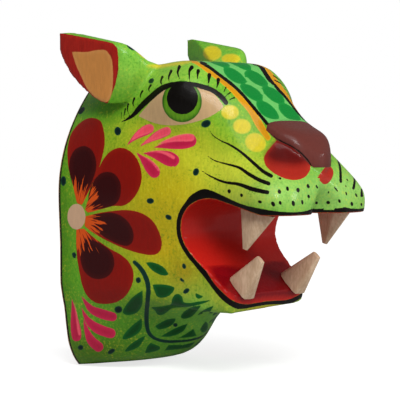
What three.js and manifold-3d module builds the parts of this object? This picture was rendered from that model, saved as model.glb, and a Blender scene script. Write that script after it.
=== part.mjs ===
// A carved and painted wooden wall mask: a big cat's head with an open mouth and four canine teeth.
// Millimetres, +Z up. The mask hangs with its flat back on the plane y = 0 and looks along -Y.
// "Reach" is how far a point stands in front of the wall, and "height" is measured from
// the mask's own level line, a little above the corners of the mouth.
import * as THREE from 'three';
import { mergeVertices } from 'three/addons/utils/BufferGeometryUtils.js';
import Module from 'manifold-3d';

const wasm = await Module();
wasm.setup();

// Sizes of the head
const rimHalfWidth = 68.5;
const rimTop = 92;
const rimBottom = -128;
const crownHeight = 101;
const crownReach = 50;
const browReach = 113;
const noseTopReach = 172;
const noseTopHeight = 58.5;
const noseTipReach = 204;
const noseTipHeight = 36;
const browHalfWidth = 27.5;
const noseHalfWidth = 23.5;
const nosePadRise = 1.2;
const nosePadUnder = 4;
const nosePadBack = noseTopReach - 2;
const padDepth = 3;
const muzzleHalfWidth = 54.5;
const muzzleLevel = 5;
const muzzleLead = 5.5;
const muzzleReach = noseTipReach + muzzleLead;
const philtrumDepth = 16;
const philtrumTop = 18;
const jawReach = 160;
const jawHalfWidth = 41;
const jawThickness = 7;
const mouthCornerReach = 115;
const mouthCornerHalfWidth = 49;

// Sizes of the ears: the flat outer face, then the wedge behind it
const earFaceX = 70;
const earTipHeight = 126;
const earFrontReach = 64;
const earFrontHeight = 116;
const earFootHeight = 72;
const earWedge = 34;

// The straight parts of the gums, as reach and height: the palate above and the bed below
const palateBack = [152, 2];
const palateFront = [muzzleReach - 17.5, -6.5];
const bedBack = [134, -47.5];
const bedFront = [jawReach, -70];

// Sizes of the hollow and of the nail hole in the rim above it
const rimWall = 14;
const rimTopWall = 26;
const hollowDepth = 72;
const nailHoleRadius = 4;
const nailHoleDepth = 12;
const nailHoleSlope = 15;

// Sizes of the teeth
const toothGap = 0.3;
const upperTooth = {
  wide: 13, long: 32, blunt: 0.14, bend: 0, apart: 41, splay: 2.5,
  footBehindMuzzle: 30.5, tipForward: -9.5, tipHeight: -31,
};
const lowerTooth = {
  wide: 12, long: 22, blunt: 0.3, bend: 4, apart: 26.5, splay: 3,
  footBehindJaw: 10.5, tipForward: 22, tipHeight: -38.5,
};
const lowerLeftShift = 2.5;

// How finely the head is cut
const onBand = 4;
const onFlank = 18;
const onThroat = [[90, 11], [148, 5], [163, 3], [180, 1]];
const alongHead = 24;
const roundFront = 17;

// The height of the point where the back rests on the wall, and of the nail hole above it
const hangHeight = rimTop - rimTopWall + 6.5;
const nailHeight = rimTop - 9.5;

const clampTo = (t, low, high) => Math.min(high, Math.max(low, t));
const clamp01 = (t) => clampTo(t, 0, 1);
const mix = (a, b, t) => a + (b - a) * t;
const smooth = (t) => clamp01(t) ** 2 * (3 - 2 * clamp01(t));

// A smooth curve through a few stations, with no overshoot between them.
function stations(points) {
  const n = points.length;
  const step = points.slice(1).map(([x], i) => x - points[i][0]);
  const rise = points.slice(1).map(([, y], i) => (y - points[i][1]) / step[i]);
  const slope = points.map((_, i) => {
    if (i === 0) return rise[0];
    if (i === n - 1) return rise[n - 2];
    if (rise[i - 1] * rise[i] <= 0) return 0;
    return (2 * rise[i - 1] * rise[i]) / (rise[i - 1] + rise[i]);
  });
  return (x) => {
    if (x <= points[0][0]) return points[0][1];
    if (x >= points[n - 1][0]) return points[n - 1][1];
    const i = points.findIndex(([p], k) => k > 0 && x <= p) - 1;
    const t = (x - points[i][0]) / step[i];
    const h = step[i];
    return points[i][1] * (1 + 2 * t) * (1 - t) ** 2 + slope[i] * h * t * (1 - t) ** 2
      + points[i + 1][1] * t * t * (3 - 2 * t) + slope[i + 1] * h * t * t * (t - 1);
  };
}

// The larger of two values, with the corner where they cross rounded off.
function smoothMax(a, b, radius) {
  const h = Math.max(radius - Math.abs(a - b), 0) / radius;
  return Math.max(a, b) + (h * h * radius) / 4;
}

// The carver's lines, each a curve over the reach
const topLine = stations([
  [0, rimTop], [crownReach, crownHeight], [crownReach + 23, crownHeight + 1],
  [browReach - 17, crownHeight + 3], [browReach, crownHeight + 1.5],
  [browReach + 18, crownHeight - 10.5], [browReach + 34, crownHeight - 22], [noseTopReach, noseTopHeight],
  [noseTipReach - 10, noseTipHeight + 13], [noseTipReach, noseTipHeight],
]);
const chinBottom = bedFront[1] - jawThickness;
const neckReach = stations([
  [rimBottom, 8], [rimBottom + 3, 34], [rimBottom + 7, 52], [rimBottom + 14, 63], [rimBottom + 22, 71],
  [rimBottom + 33, 79], [rimBottom + 42, 88], [chinBottom, 100], [chinBottom + 37, 128],
]);
const neckHalfWidth = stations([
  [rimBottom, 49], [rimBottom + 10, 56], [rimBottom + 24, 62], [chinBottom, 66], [chinBottom + 37, 72],
]);
const bandLine = stations([[0, browHalfWidth], [browReach, browHalfWidth], [noseTopReach, noseHalfWidth]]);
const muzzleLine = stations([
  [0, rimHalfWidth], [mouthCornerReach / 2, rimHalfWidth - 3], [mouthCornerReach, mouthCornerHalfWidth + 7],
  [mouthCornerReach + 35, mouthCornerHalfWidth + 1], [noseTipReach - 14, muzzleHalfWidth],
]);
const jawLine = stations([
  [0, rimHalfWidth - 1.5], [mouthCornerReach / 2, rimHalfWidth - 6],
  [mouthCornerReach, mouthCornerHalfWidth], [jawReach, jawHalfWidth],
]);
const flankLine = stations([
  [0, 0.95], [crownReach - 10, 0.42], [browReach - 23, 0.33], [browReach, 0.3],
  [browReach + 22, 0.46], [browReach + 39, 0.95], [noseTopReach, 2], [noseTopReach + 13, 2.8],
]);

// A rounded swelling on the side of the head: its full rise at the middle and none at its edge.
function swell(reach, height, at) {
  const along = (reach - at.reach) / at.long;
  const across = (height - at.height - at.tilt * (reach - at.reach)) / at.tall;
  return at.rise * (1 - smooth(Math.hypot(along, across)));
}
const eyeSwell = {
  reach: browReach + 1, height: crownHeight - 22, long: 48, tall: 34, tilt: 0.1, rise: 10,
};
const cheekHollow = {
  reach: browReach + 25, height: noseTipHeight - 2, long: 34, tall: 26, tilt: -0.4, rise: -3,
};

// Half the width of the head at a reach and height.
function halfWidth(reach, height) {
  const muzzle = muzzleLine(reach);
  const swells = swell(reach, height, eyeSwell) + swell(reach, height, cheekHollow);
  if (height >= muzzleLevel) {
    const t = clamp01((height - muzzleLevel) / (topLine(reach) - muzzleLevel));
    return mix(bandLine(reach), muzzle, (1 - t * t) ** flankLine(reach)) + swells;
  }
  return mix(muzzle, jawLine(reach), smooth((muzzleLevel - height) / 45)) + swells;
}

// How far the muzzle stands out: two round pads with the notch of the lip between them,
// and the jaw below.
function frontReach(x, height) {
  const open = smooth((philtrumTop - height) / (philtrumTop + 5));
  const notch = philtrumDepth * open * (1 - smooth(Math.abs(x) / mix(9, 20, open)));
  const slope = 0.0078 * clampTo(height + 3, 0, 45) ** 2;
  const pads = muzzleReach - notch - slope - 0.004 * Math.max(Math.abs(x) - 30, 0) ** 2;
  return mix(jawReach, pads, smooth((height + 46) / 20));
}

// Below zero inside the uncut head, with the mouth still closed and without the nose pad.
function headField(x, reach, height) {
  const side = Math.abs(x) - halfWidth(Math.min(reach, noseTipReach), height);
  const top = height - topLine(reach) + nosePadUnder * smooth((reach - noseTopReach - 4) / 16);
  const chin = chinBottom + 0.04 * x * smooth((reach - 100) / 40) - height;
  const round = Math.hypot(x / neckHalfWidth(height), reach / neckReach(height));
  const neck = (round - 1) * neckReach(height);
  const bottom = Math.max(-smoothMax(-chin, -neck, 16), rimBottom - height);
  const front = reach - frontReach(x, height);
  const sideFront = smoothMax(side, front, mix(12, 20, smooth((height + 40) / 20)));
  const sideBottom = smoothMax(side, bottom, mix(16, 7, smooth((reach - 90) / 40)));
  const topEdge = mix(3, 14, smooth((reach - noseTopReach) / 20));
  return Math.max(smoothMax(sideFront, top, topEdge), sideBottom, smoothMax(bottom, front, 7));
}

// A closed surface through rings of equal count, each a list of points.
// A tip can be given for the last end.
function skin(rings, tip = null) {
  const count = rings[0].length;
  const positions = rings.flat().flatMap((p) => [p.x, p.y, p.z]);
  const index = [];
  for (let i = 0; i < rings.length - 1; i++) {
    for (let j = 0; j < count; j++) {
      const a = i * count + j;
      const b = i * count + ((j + 1) % count);
      index.push(a, b, a + count, b, b + count, a + count);
    }
  }
  const ends = [[rings[0], 0, true], [rings[rings.length - 1], (rings.length - 1) * count, false]];
  for (const [ring, first, turned] of ends) {
    const mean = ring.reduce((sum, p) => sum.add(p), new THREE.Vector3()).divideScalar(count);
    const middle = tip && !turned ? tip : mean;
    const centre = positions.length / 3;
    positions.push(middle.x, middle.y, middle.z);
    for (let j = 0; j < count; j++) {
      const a = first + j;
      const b = first + ((j + 1) % count);
      index.push(...(turned ? [centre, b, a] : [centre, a, b]));
    }
  }
  const geometry = new THREE.BufferGeometry();
  geometry.setAttribute('position', new THREE.Float32BufferAttribute(positions, 3));
  geometry.setIndex(index);
  return geometry;
}

// A three.js geometry as a manifold solid, turned the right way out.
function solid(geometry) {
  const bare = geometry.clone();
  bare.deleteAttribute('normal');
  bare.deleteAttribute('uv');
  const merged = mergeVertices(bare, 1e-4);
  const made = () => new wasm.Manifold(new wasm.Mesh({
    numProp: 3,
    vertProperties: new Float32Array(merged.attributes.position.array),
    triVerts: new Uint32Array(merged.index.array),
  }));
  const first = made();
  if (first.volume() >= 0) return first;
  const order = merged.index.array;
  for (let i = 0; i < order.length; i += 3) [order[i + 1], order[i + 2]] = [order[i + 2], order[i + 1]];
  return made();
}

function toGeometry(shape) {
  const mesh = shape.getMesh();
  const points = new Float32Array(mesh.numVert * 3);
  for (let i = 0; i < mesh.numVert; i++) {
    points.set(mesh.vertProperties.subarray(i * mesh.numProp, i * mesh.numProp + 3), i * 3);
  }
  const geometry = new THREE.BufferGeometry();
  geometry.setAttribute('position', new THREE.BufferAttribute(points, 3));
  geometry.setIndex(new THREE.BufferAttribute(new Uint32Array(mesh.triVerts), 1));
  geometry.computeVertexNormals();
  return geometry;
}

// A point from its width, reach and height.
const at = (x, reach, height) => new THREE.Vector3(x, -reach, height);

// The outermost point of the head on the way out from a middle.
function surfacePoint(from, direction) {
  let far = 190;
  const inside = (d) => {
    const p = from.clone().addScaledVector(direction, d);
    return headField(p.x, -p.y, p.z) < 0;
  };
  while (far > 6 && !inside(far - 4)) far -= 4;
  let near = far - 4;
  for (let i = 0; i < 18; i++) {
    const d = (near + far) / 2;
    if (inside(d)) near = d;
    else far = d;
  }
  return from.clone().addScaledVector(direction, near);
}

// The outside of the head: rings round a line from the wall forwards, then rings that close over
// the muzzle. Each ring has a corner point on both edges of the flat band that runs down the snout.
function headForm() {
  const frontMiddle = { reach: noseTopReach - 22, height: noseTipHeight - 14 };
  const middleLine = stations([[0, -14], [60, -8], [frontMiddle.reach, frontMiddle.height]]);
  const ring = (reach, tilt) => {
    const from = at(0, reach, middleLine(reach));
    const aim = (turn) => new THREE.Vector3(
      Math.sin(turn) * Math.cos(tilt), -Math.sin(tilt), Math.cos(turn) * Math.cos(tilt));
    let edge = 0.3;
    for (let k = 0; k < 4; k++) {
      const p = surfacePoint(from, aim(edge * 0.98));
      const half = -p.y > noseTopReach ? noseHalfWidth : bandLine(-p.y);
      edge = Math.atan2(half, Math.max(p.z - from.z, 12));
    }
    const turns = [];
    for (let j = 0; j < onBand; j++) turns.push((edge * j) / onBand);
    for (let j = 0; j < onFlank; j++) turns.push(mix(edge, Math.PI * 0.5, j / onFlank));
    onThroat.slice(0, -1).forEach(([start, count], k) => {
      const end = onThroat[k + 1][0];
      for (let j = 0; j < count; j++) turns.push(THREE.MathUtils.degToRad(mix(start, end, j / count)));
    });
    turns.push(Math.PI);
    const half = turns.map((turn) => surfacePoint(from, aim(turn)));
    const mirrored = turns.slice(1, -1).reverse().map((turn) => surfacePoint(from, aim(-turn)));
    return [...half, ...mirrored];
  };
  const rings = [];
  for (let i = 0; i <= alongHead; i++) rings.push(ring((frontMiddle.reach * i) / alongHead, 0));
  for (let i = 1; i < roundFront; i++) {
    rings.push(ring(frontMiddle.reach, (Math.PI / 2) * (i / roundFront) ** 0.8));
  }
  const tip = surfacePoint(at(0, frontMiddle.reach, frontMiddle.height), new THREE.Vector3(0, -1, 0));
  return solid(skin(rings, tip));
}

// The nose pad: a domed half oval laid over the end of the snout, with a crisp lower edge that
// falls to the tip.
const padUnderside = stations([
  [nosePadBack, noseTopHeight - 3.5], [noseTipReach - 22, noseTipHeight + 10],
  [noseTipReach - 12, noseTipHeight + 5.5], [noseTipReach - 6, noseTipHeight - 1],
  [noseTipReach - 1, noseTipHeight - 9], [noseTipReach + 1, noseTipHeight - 9],
]);
function nosePad() {
  const middle = noseTopReach + 2;
  const length = noseTipReach + 1.5 - middle;
  const rings = [];
  for (let i = 0; i <= 12; i++) {
    const turn = (Math.PI / 2) * (i / 12) * 0.995;
    const reach = i < 2 ? nosePadBack + 2 * i : middle + length * Math.sin(turn);
    const full = noseHalfWidth + nosePadRise;
    const wide = i < 2 ? full - 1 + i : full * Math.cos(turn);
    const low = padUnderside(reach);
    const rise = nosePadRise * (i === 0 ? 0.6 : 1);
    const high = Math.max(topLine(Math.min(reach, noseTipReach)) + rise, low + 3);
    const arc = Array.from({ length: 17 }, (_, j) => {
      const a = (Math.PI * j) / 16;
      const x = wide * Math.sign(Math.cos(a)) * Math.abs(Math.cos(a)) ** 0.7;
      return at(x, reach, low + (high - low) * Math.sin(a) ** 0.55);
    });
    rings.push([...arc, at(-wide * 0.5, reach, low - padDepth), at(wide * 0.5, reach, low - padDepth)]);
  }
  return solid(skin(rings));
}

// The mouth, sawn through from side to side: a rounded back, the palate above and the bed below.
function mouthCut() {
  const away = 60;
  const side = new THREE.Shape();
  side.moveTo(muzzleReach + away, -6.5);
  side.lineTo(...palateFront);
  side.lineTo(...palateBack);
  side.bezierCurveTo(128, 9, mouthCornerReach, -8, mouthCornerReach, -22);
  side.bezierCurveTo(mouthCornerReach, -31, 122, -38, ...bedBack);
  side.lineTo(...bedFront);
  side.lineTo(jawReach + away, bedFront[1] - away);
  side.lineTo(muzzleReach + away, bedFront[1] - away);
  side.closePath();
  return sawn(side, 2 * rimHalfWidth + 20, 0, 10);
}

// A side profile, in reach and height, carried across the width.
function sawn(shape, width, middleX, curveSegments) {
  const geometry = new THREE.ExtrudeGeometry(shape, { depth: width, bevelEnabled: false, curveSegments });
  geometry.applyMatrix4(new THREE.Matrix4().set(
    0, 0, 1, middleX - width / 2,
    -1, 0, 0, 0,
    0, 1, 0, 0,
    0, 0, 0, 1));
  return solid(geometry);
}

// One ear: a flat outer face, and a wedge behind it that thickens towards the front and grows out
// of the head. Each layer inwards is the outline of the face, drawn in towards the foot and moved
// forwards.
function ear(side) {
  const outline = new THREE.Shape();
  outline.moveTo(0.2, earTipHeight);
  outline.lineTo(earFrontReach - 9, earFrontHeight + 1.2);
  outline.quadraticCurveTo(earFrontReach + 1, earFrontHeight, earFrontReach + 2, earFrontHeight - 8);
  outline.bezierCurveTo(earFrontReach + 4, 96, 63, 84, 54, earFootHeight);
  outline.bezierCurveTo(42, earFootHeight, 8, 92, 0.2, 112);
  outline.closePath();
  const edge = outline.getPoints(7).slice(0, -1);
  const foot = new THREE.Vector2(62, 85);
  const layers = [
    { depth: 0, long: 0.05, tall: 0.05, forward: 0 },
    { depth: 0, long: 0.6, tall: 0.6, forward: 0 },
    { depth: 0, long: 1, tall: 1, forward: 0 },
    { depth: 0.08, long: 0.97, tall: 1.025, forward: 4 },
    { depth: 0.26, long: 0.84, tall: 0.98, forward: 9 },
    { depth: 0.48, long: 0.64, tall: 0.8, forward: 12 },
    { depth: 0.72, long: 0.44, tall: 0.58, forward: 15 },
    { depth: 0.9, long: 0.28, tall: 0.5, forward: 19 },
    { depth: 1, long: 0.05, tall: 0.36, forward: 21 },
  ];
  const rings = layers.map(({ depth, long, tall, forward }) => edge.map((p) => {
    const reach = foot.x + (p.x - foot.x) * long + forward;
    const height = foot.y + (p.y - foot.y) * tall;
    return at(side * (earFaceX - depth * earWedge), Math.max(reach, 0.2), height);
  }));
  return solid(skin(rings));
}

// The hollow that is carved into the back, widest at the wall.
function hollow() {
  const depthSteps = 9;
  const around = 32;
  const rings = [];
  for (let i = 0; i <= depthSteps; i++) {
    const t = i / depthSteps;
    const reach = i === 0 ? -6 : hollowDepth * Math.sin((t * Math.PI) / 2);
    const narrow = Math.cos(t * Math.PI / 2 * 0.8);
    const high = mix(-14, rimTop - rimTopWall, narrow);
    const low = mix(-14, rimBottom + rimWall, narrow);
    const wide = (rimHalfWidth - rimWall) * narrow;
    rings.push(Array.from({ length: around }, (_, j) => {
      const turn = (2 * Math.PI * j) / around;
      const c = Math.cos(turn);
      const s = Math.sin(turn);
      const boxy = c < 0 ? 0.6 : 0.85;
      const height = (high + low) / 2 + ((high - low) / 2) * Math.sign(c) * Math.abs(c) ** boxy;
      return at(wide * Math.sign(s) * Math.abs(s) ** 0.8, reach, height);
    }));
  }
  return solid(skin(rings));
}

// The blind hole above the hollow that hooks over a nail, sloping upwards into the wood.
function nailHole() {
  const hole = new THREE.CylinderGeometry(nailHoleRadius, nailHoleRadius, 2 * nailHoleDepth, 20);
  hole.rotateX(THREE.MathUtils.degToRad(-nailHoleSlope));
  hole.translate(0, 0, nailHeight);
  return solid(hole);
}

// One tooth: a whittled peg from its foot on the gum to a blunt tip.
// The foot lies on the plane of the gum; its outline is given as shares of the width and the length.
function tooth({ foot, tip, along, size, outline }) {
  const steps = 5;
  const across = new THREE.Vector3(1, 0, 0);
  const up = new THREE.Vector3().crossVectors(across, along).normalize();
  if (up.dot(tip.clone().sub(foot)) < 0) up.negate();
  const footPoint = foot.clone().addScaledVector(up, toothGap);
  const rings = [];
  for (let i = 0; i <= steps; i++) {
    const t = i / steps;
    const middle = footPoint.clone().lerp(tip, t).addScaledVector(up, size.bend * t * (1 - t));
    const share = mix(1, size.blunt, t ** 0.9);
    rings.push(outline.map(([wide, long]) => middle.clone()
      .addScaledVector(across, wide * share * size.wide)
      .addScaledVector(along, long * share * size.long)));
  }
  return toGeometry(solid(skin(rings)));
}

// A kite with its blunt corners, and a rounded slab, both going round once.
const kite = [
  [-0.06, -0.5], [0.06, -0.5], [0.3, -0.14], [0.48, 0.16], [0.48, 0.24], [0.3, 0.4], [0.08, 0.5],
  [-0.08, 0.5], [-0.3, 0.4], [-0.48, 0.24], [-0.48, 0.16], [-0.3, -0.14],
];
const slab = [
  [-0.2, -0.5], [0.2, -0.5], [0.4, -0.38], [0.5, -0.1], [0.5, 0.4], [0.42, 0.5], [0, 0.52],
  [-0.42, 0.5], [-0.5, 0.4], [-0.5, -0.1], [-0.4, -0.38],
];

function paint(color, roughness = 0.35) {
  return new THREE.MeshStandardMaterial({ color, roughness, metalness: 0 });
}
const headPaint = paint(0x8cb92e);
const bareWood = paint(0xb08a62, 0.75);

const head = headForm()
  .add(nosePad())
  .add(ear(-1))
  .add(ear(1))
  .subtract(mouthCut())
  .subtract(hollow())
  .subtract(nailHole());

const mask = new THREE.Group();
mask.position.z = -hangHeight;

function place(name, geometry, material) {
  const mesh = new THREE.Mesh(geometry, material);
  mesh.name = name;
  mask.add(mesh);
}

place('head', toGeometry(head), headPaint);

const palateAlong = at(0, ...palateFront).sub(at(0, ...palateBack)).normalize();
const bedAlong = at(0, ...bedFront).sub(at(0, ...bedBack)).normalize();
const onLine = (from, to, reach) => mix(from[1], to[1], (reach - from[0]) / (to[0] - from[0]));
for (const [label, side, shift] of [['right', -1, 0], ['left', 1, lowerLeftShift]]) {
  const upperX = side * upperTooth.apart;
  const upperFoot = muzzleReach - upperTooth.footBehindMuzzle;
  place(`upper_${label}_tooth`, tooth({
    foot: at(upperX, upperFoot, onLine(palateBack, palateFront, upperFoot)),
    tip: at(upperX + side * upperTooth.splay, upperFoot + upperTooth.tipForward, upperTooth.tipHeight),
    along: palateAlong,
    size: upperTooth,
    outline: kite,
  }), bareWood);
  const lowerX = side * lowerTooth.apart + shift;
  const lowerFoot = jawReach - lowerTooth.footBehindJaw;
  place(`lower_${label}_tooth`, tooth({
    foot: at(lowerX, lowerFoot, onLine(bedBack, bedFront, lowerFoot)),
    tip: at(lowerX + side * lowerTooth.splay, lowerFoot + lowerTooth.tipForward, lowerTooth.tipHeight),
    along: bedAlong,
    size: lowerTooth,
    outline: slab,
  }), bareWood);
}

export default mask;
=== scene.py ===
"""A carved and painted wooden wall mask: a big cat's head with an open mouth and four canine teeth.

Metres, +Z up. The flat back lies on the plane y = 0 and the mask looks along -Y. "Reach" is how far
a point stands in front of the wall, and "height" is measured from the mask's own level line.

The paint is laid down as a painter does it, mark by mark. A mark is drawn where the photograph
shows it, as points of its 400 x 400 frame, and lands on the wood behind them. Most marks belong to
the near half of the head and are repeated, mirrored, on the far half.
"""

import sys
import logging
import math
from dataclasses import dataclass
from enum import Enum

import bmesh
import bpy
import numpy as np
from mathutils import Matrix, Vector
from mathutils.kdtree import KDTree


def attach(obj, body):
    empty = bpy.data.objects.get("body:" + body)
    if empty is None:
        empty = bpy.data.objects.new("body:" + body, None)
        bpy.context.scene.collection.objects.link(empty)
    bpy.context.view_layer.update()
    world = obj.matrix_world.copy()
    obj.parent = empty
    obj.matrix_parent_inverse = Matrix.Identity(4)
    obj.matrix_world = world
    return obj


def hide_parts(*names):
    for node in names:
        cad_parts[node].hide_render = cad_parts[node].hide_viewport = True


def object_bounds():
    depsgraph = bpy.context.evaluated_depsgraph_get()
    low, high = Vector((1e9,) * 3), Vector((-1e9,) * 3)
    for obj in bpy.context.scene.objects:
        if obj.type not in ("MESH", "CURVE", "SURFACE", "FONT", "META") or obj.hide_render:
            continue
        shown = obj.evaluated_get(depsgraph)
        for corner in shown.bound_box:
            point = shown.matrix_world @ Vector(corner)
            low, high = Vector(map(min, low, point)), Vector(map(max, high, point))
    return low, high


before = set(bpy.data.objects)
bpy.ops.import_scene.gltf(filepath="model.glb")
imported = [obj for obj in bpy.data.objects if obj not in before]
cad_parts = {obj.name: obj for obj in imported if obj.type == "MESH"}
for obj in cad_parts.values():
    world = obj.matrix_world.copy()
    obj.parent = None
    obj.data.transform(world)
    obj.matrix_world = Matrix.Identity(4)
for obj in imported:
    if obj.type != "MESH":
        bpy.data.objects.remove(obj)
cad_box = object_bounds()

log = logging.getLogger("wall_mask")

MM = 0.001
LEVEL_LINE = -72.5 * MM
FAR_AWAY = 99.0

Pixel = tuple[float, float]
Rgb = tuple[float, float, float]


def linear(colour: Rgb) -> tuple[float, float, float, float]:
    """Turns a colour of 0 to 255, as the eye reads it off a screen, into linear light.

    Args:
        colour: red, green and blue, 0 to 255.

    Returns:
        Red, green, blue and an alpha of 1, all 0 to 1.
    """
    part = [c / 255.0 for c in colour]
    return tuple(c / 12.92 if c <= 0.04045 else ((c + 0.055) / 1.055) ** 2.4 for c in part) + (1.0,)


def smooth(t: np.ndarray) -> np.ndarray:
    """Eases from 0 to 1 as t goes from 0 to 1."""
    t = np.clip(t, 0.0, 1.0)
    return t * t * (3.0 - 2.0 * t)


@dataclass(frozen=True)
class PhotoView:
    """The photograph's camera: where it stands, and where a point of the mask lands in its frame."""

    azimuth: float = -46.0
    elevation: float = 2.4
    target: tuple[float, float, float] = (0.0, -83.5 * MM, LEVEL_LINE)
    distance: float = 1283.5 * MM
    lens: float = 153.0
    sensor: float = 36.0
    width: float = 400.0

    def axes(self) -> tuple[np.ndarray, np.ndarray, np.ndarray]:
        """Gives the directions back, right and up of the camera."""
        a, e = math.radians(self.azimuth), math.radians(self.elevation)
        back = np.array([math.sin(a) * math.cos(e), -math.cos(a) * math.cos(e), math.sin(e)])
        right = np.array([math.cos(a), math.sin(a), 0.0])
        return back, right, np.cross(back, right)

    def eye(self) -> np.ndarray:
        """Gives the place of the camera."""
        return np.array(self.target) + self.axes()[0] * self.distance

    def pixels(self, points: np.ndarray) -> np.ndarray:
        """Projects points of the mask into the photograph.

        Args:
            points: places in metres, one to a row.

        Returns:
            One pixel to a row, in the 400 x 400 frame.
        """
        back, right, up = self.axes()
        offset = points - self.eye()
        scale = self.lens / self.sensor * self.width / -(offset @ back)
        middle = self.width / 2
        return np.column_stack([middle + scale * (offset @ right), middle - scale * (offset @ up)])

    def mm_per_pixel(self) -> float:
        """Gives the size of a pixel at the mask, in millimetres."""
        return self.distance / MM * self.sensor / self.lens / self.width


VIEW = PhotoView()


class Side(Enum):
    """Which half of the head a mark is painted on."""

    BOTH = "read on the near half and mirrored"
    NEAR = "near half only"
    FAR = "far half only"
    FAR_BOTH = "read on the far half and mirrored"


def through(points: list[Pixel], steps: int, closed: bool = False) -> np.ndarray:
    """Runs a smooth curve through a few points. A point given twice running stays a sharp corner.

    Args:
        points: the points, of any number of coordinates.
        steps: how many steps each stretch is cut into.
        closed: whether the last point joins the first.

    Returns:
        The points of the curve, one to a row.
    """
    p = np.array(points, float)
    n = len(p)
    curve = []
    for i in range(n if closed else n - 1):
        a, b = p[i], p[(i + 1) % n]
        if np.allclose(a, b):
            continue
        before = p[i - 1] if closed or i > 0 else a
        after = p[(i + 2) % n] if closed or i < n - 2 else b
        for t in np.arange(steps) / steps:
            curve.append(
                0.5 * (2 * a + (b - before) * t + (2 * before - 5 * a + 4 * b - after) * t * t
                       + (3 * a - before - 3 * b + after) * t ** 3))
    if not closed:
        curve.append(p[-1])
    return np.array(curve)


def to_segments(q: np.ndarray, a: np.ndarray, b: np.ndarray) -> tuple[np.ndarray, np.ndarray]:
    """Measures how far points are from segments.

    Args:
        q: the points, one to a row.
        a: the start of each segment.
        b: the end of each segment.

    Returns:
        For each point and segment, the distance, and the nearest place along the segment, 0 to 1.
    """
    along = b - a
    length = np.maximum((along ** 2).sum(1), 1e-9)
    rel = q[:, None, :] - a[None]
    t = np.clip((rel * along[None]).sum(2) / length, 0.0, 1.0)
    gap = rel - t[..., None] * along[None]
    return np.sqrt((gap ** 2).sum(2)), t


def outline_distance(q: np.ndarray, outline: np.ndarray) -> np.ndarray:
    """Measures how far points lie outside a closed outline, negative inside it."""
    a, b = outline, np.roll(outline, -1, axis=0)
    gap, _ = to_segments(q, a, b)
    x, y = q[:, 0:1], q[:, 1:2]
    crosses = (a[None, :, 1] > y) != (b[None, :, 1] > y)
    rise = np.where(b[:, 1] == a[:, 1], 1e-9, b[:, 1] - a[:, 1])
    at = a[None, :, 0] + (y - a[None, :, 1]) * ((b - a)[None, :, 0] / rise[None])
    inside = (crosses & (x < at)).sum(1) % 2 == 1
    return np.where(inside, -gap.min(1), gap.min(1))


@dataclass(frozen=True)
class Stroke:
    """One pull of the brush: a spine of pixels, with the half width of the brush at each."""

    spine: tuple[Pixel, ...]
    widths: tuple[float, ...]
    side: Side = Side.BOTH

    def distance(self, q: np.ndarray) -> np.ndarray:
        """Measures how far pixels lie outside the stroke."""
        path = through([(u, v, w) for (u, v), w in zip(self.spine, self.widths)], 5)
        gap, t = to_segments(q, path[:-1, :2], path[1:, :2])
        width = path[None, :-1, 2] * (1 - t) + path[None, 1:, 2] * t
        return (gap - np.maximum(width, 0.12)).min(1)

    def corners(self) -> np.ndarray:
        """Gives the points that the stroke runs through."""
        return np.array(self.spine)

    def thickness(self) -> float:
        """Gives the mean half width in pixels."""
        return sum(self.widths) / len(self.widths)


@dataclass(frozen=True)
class Patch:
    """A filled shape with a smooth outline through a few pixels."""

    outline: tuple[Pixel, ...]
    side: Side = Side.BOTH

    def distance(self, q: np.ndarray) -> np.ndarray:
        """Measures how far pixels lie outside the shape."""
        return outline_distance(q, through(self.outline, 6, closed=True))

    def corners(self) -> np.ndarray:
        """Gives the points of the outline."""
        return np.array(self.outline)

    def thickness(self) -> float:
        """Gives half of the shape's smaller extent in pixels."""
        return float(np.ptp(self.corners(), axis=0).min()) / 2


@dataclass(frozen=True)
class Spot:
    """An oval touch of the brush."""

    centre: Pixel
    half: Pixel
    turn: float = 0.0
    side: Side = Side.BOTH

    def distance(self, q: np.ndarray) -> np.ndarray:
        """Measures roughly how far pixels lie outside the oval."""
        c, s = math.cos(math.radians(self.turn)), math.sin(math.radians(self.turn))
        d = q - np.array(self.centre)
        local = np.column_stack([d[:, 0] * c + d[:, 1] * s, -d[:, 0] * s + d[:, 1] * c])
        unit = local / np.array(self.half)
        k = np.sqrt((unit ** 2).sum(1))
        slope = np.sqrt(((unit / np.array(self.half)) ** 2).sum(1))
        return np.where(k > 1e-6, k * (k - 1.0) / np.maximum(slope, 1e-9), -min(self.half))

    def corners(self) -> np.ndarray:
        """Gives the corners of the oval's box."""
        r = max(self.half)
        return np.array([self.centre]) + np.array([[-r, -r], [r, r]])

    def thickness(self) -> float:
        """Gives the smaller half width in pixels."""
        return min(self.half)


Mark = Stroke | Patch | Spot


def line(spine: tuple[Pixel, ...], start: float, end: float, side: Side = Side.BOTH) -> Stroke:
    """Gives a stroke whose width goes evenly from its start to its end."""
    n = len(spine) - 1
    return Stroke(spine, tuple(start + (end - start) * i / n for i in range(n + 1)), side)


def drop(tip: Pixel, head: Pixel, width: float, bow: float = 0.0) -> Stroke:
    """Gives a drop: a stroke pressed down towards its head, bowed sideways by some pixels."""
    (u0, v0), (u1, v1) = tip, head
    length = math.hypot(u1 - u0, v1 - v0)
    across = ((v0 - v1) / length, (u1 - u0) / length)
    share = (0.0, 0.3, 0.6, 0.85, 1.0)
    press = (0.05, 0.42, 0.8, 1.0, 0.94)
    arch = tuple(bow * 4 * t * (1 - t) for t in share)
    spine = tuple(
        (u0 + (u1 - u0) * t + across[0] * a, v0 + (v1 - v0) * t + across[1] * a) for t, a in zip(share, arch))
    return Stroke(spine, tuple(width * p for p in press))


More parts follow.
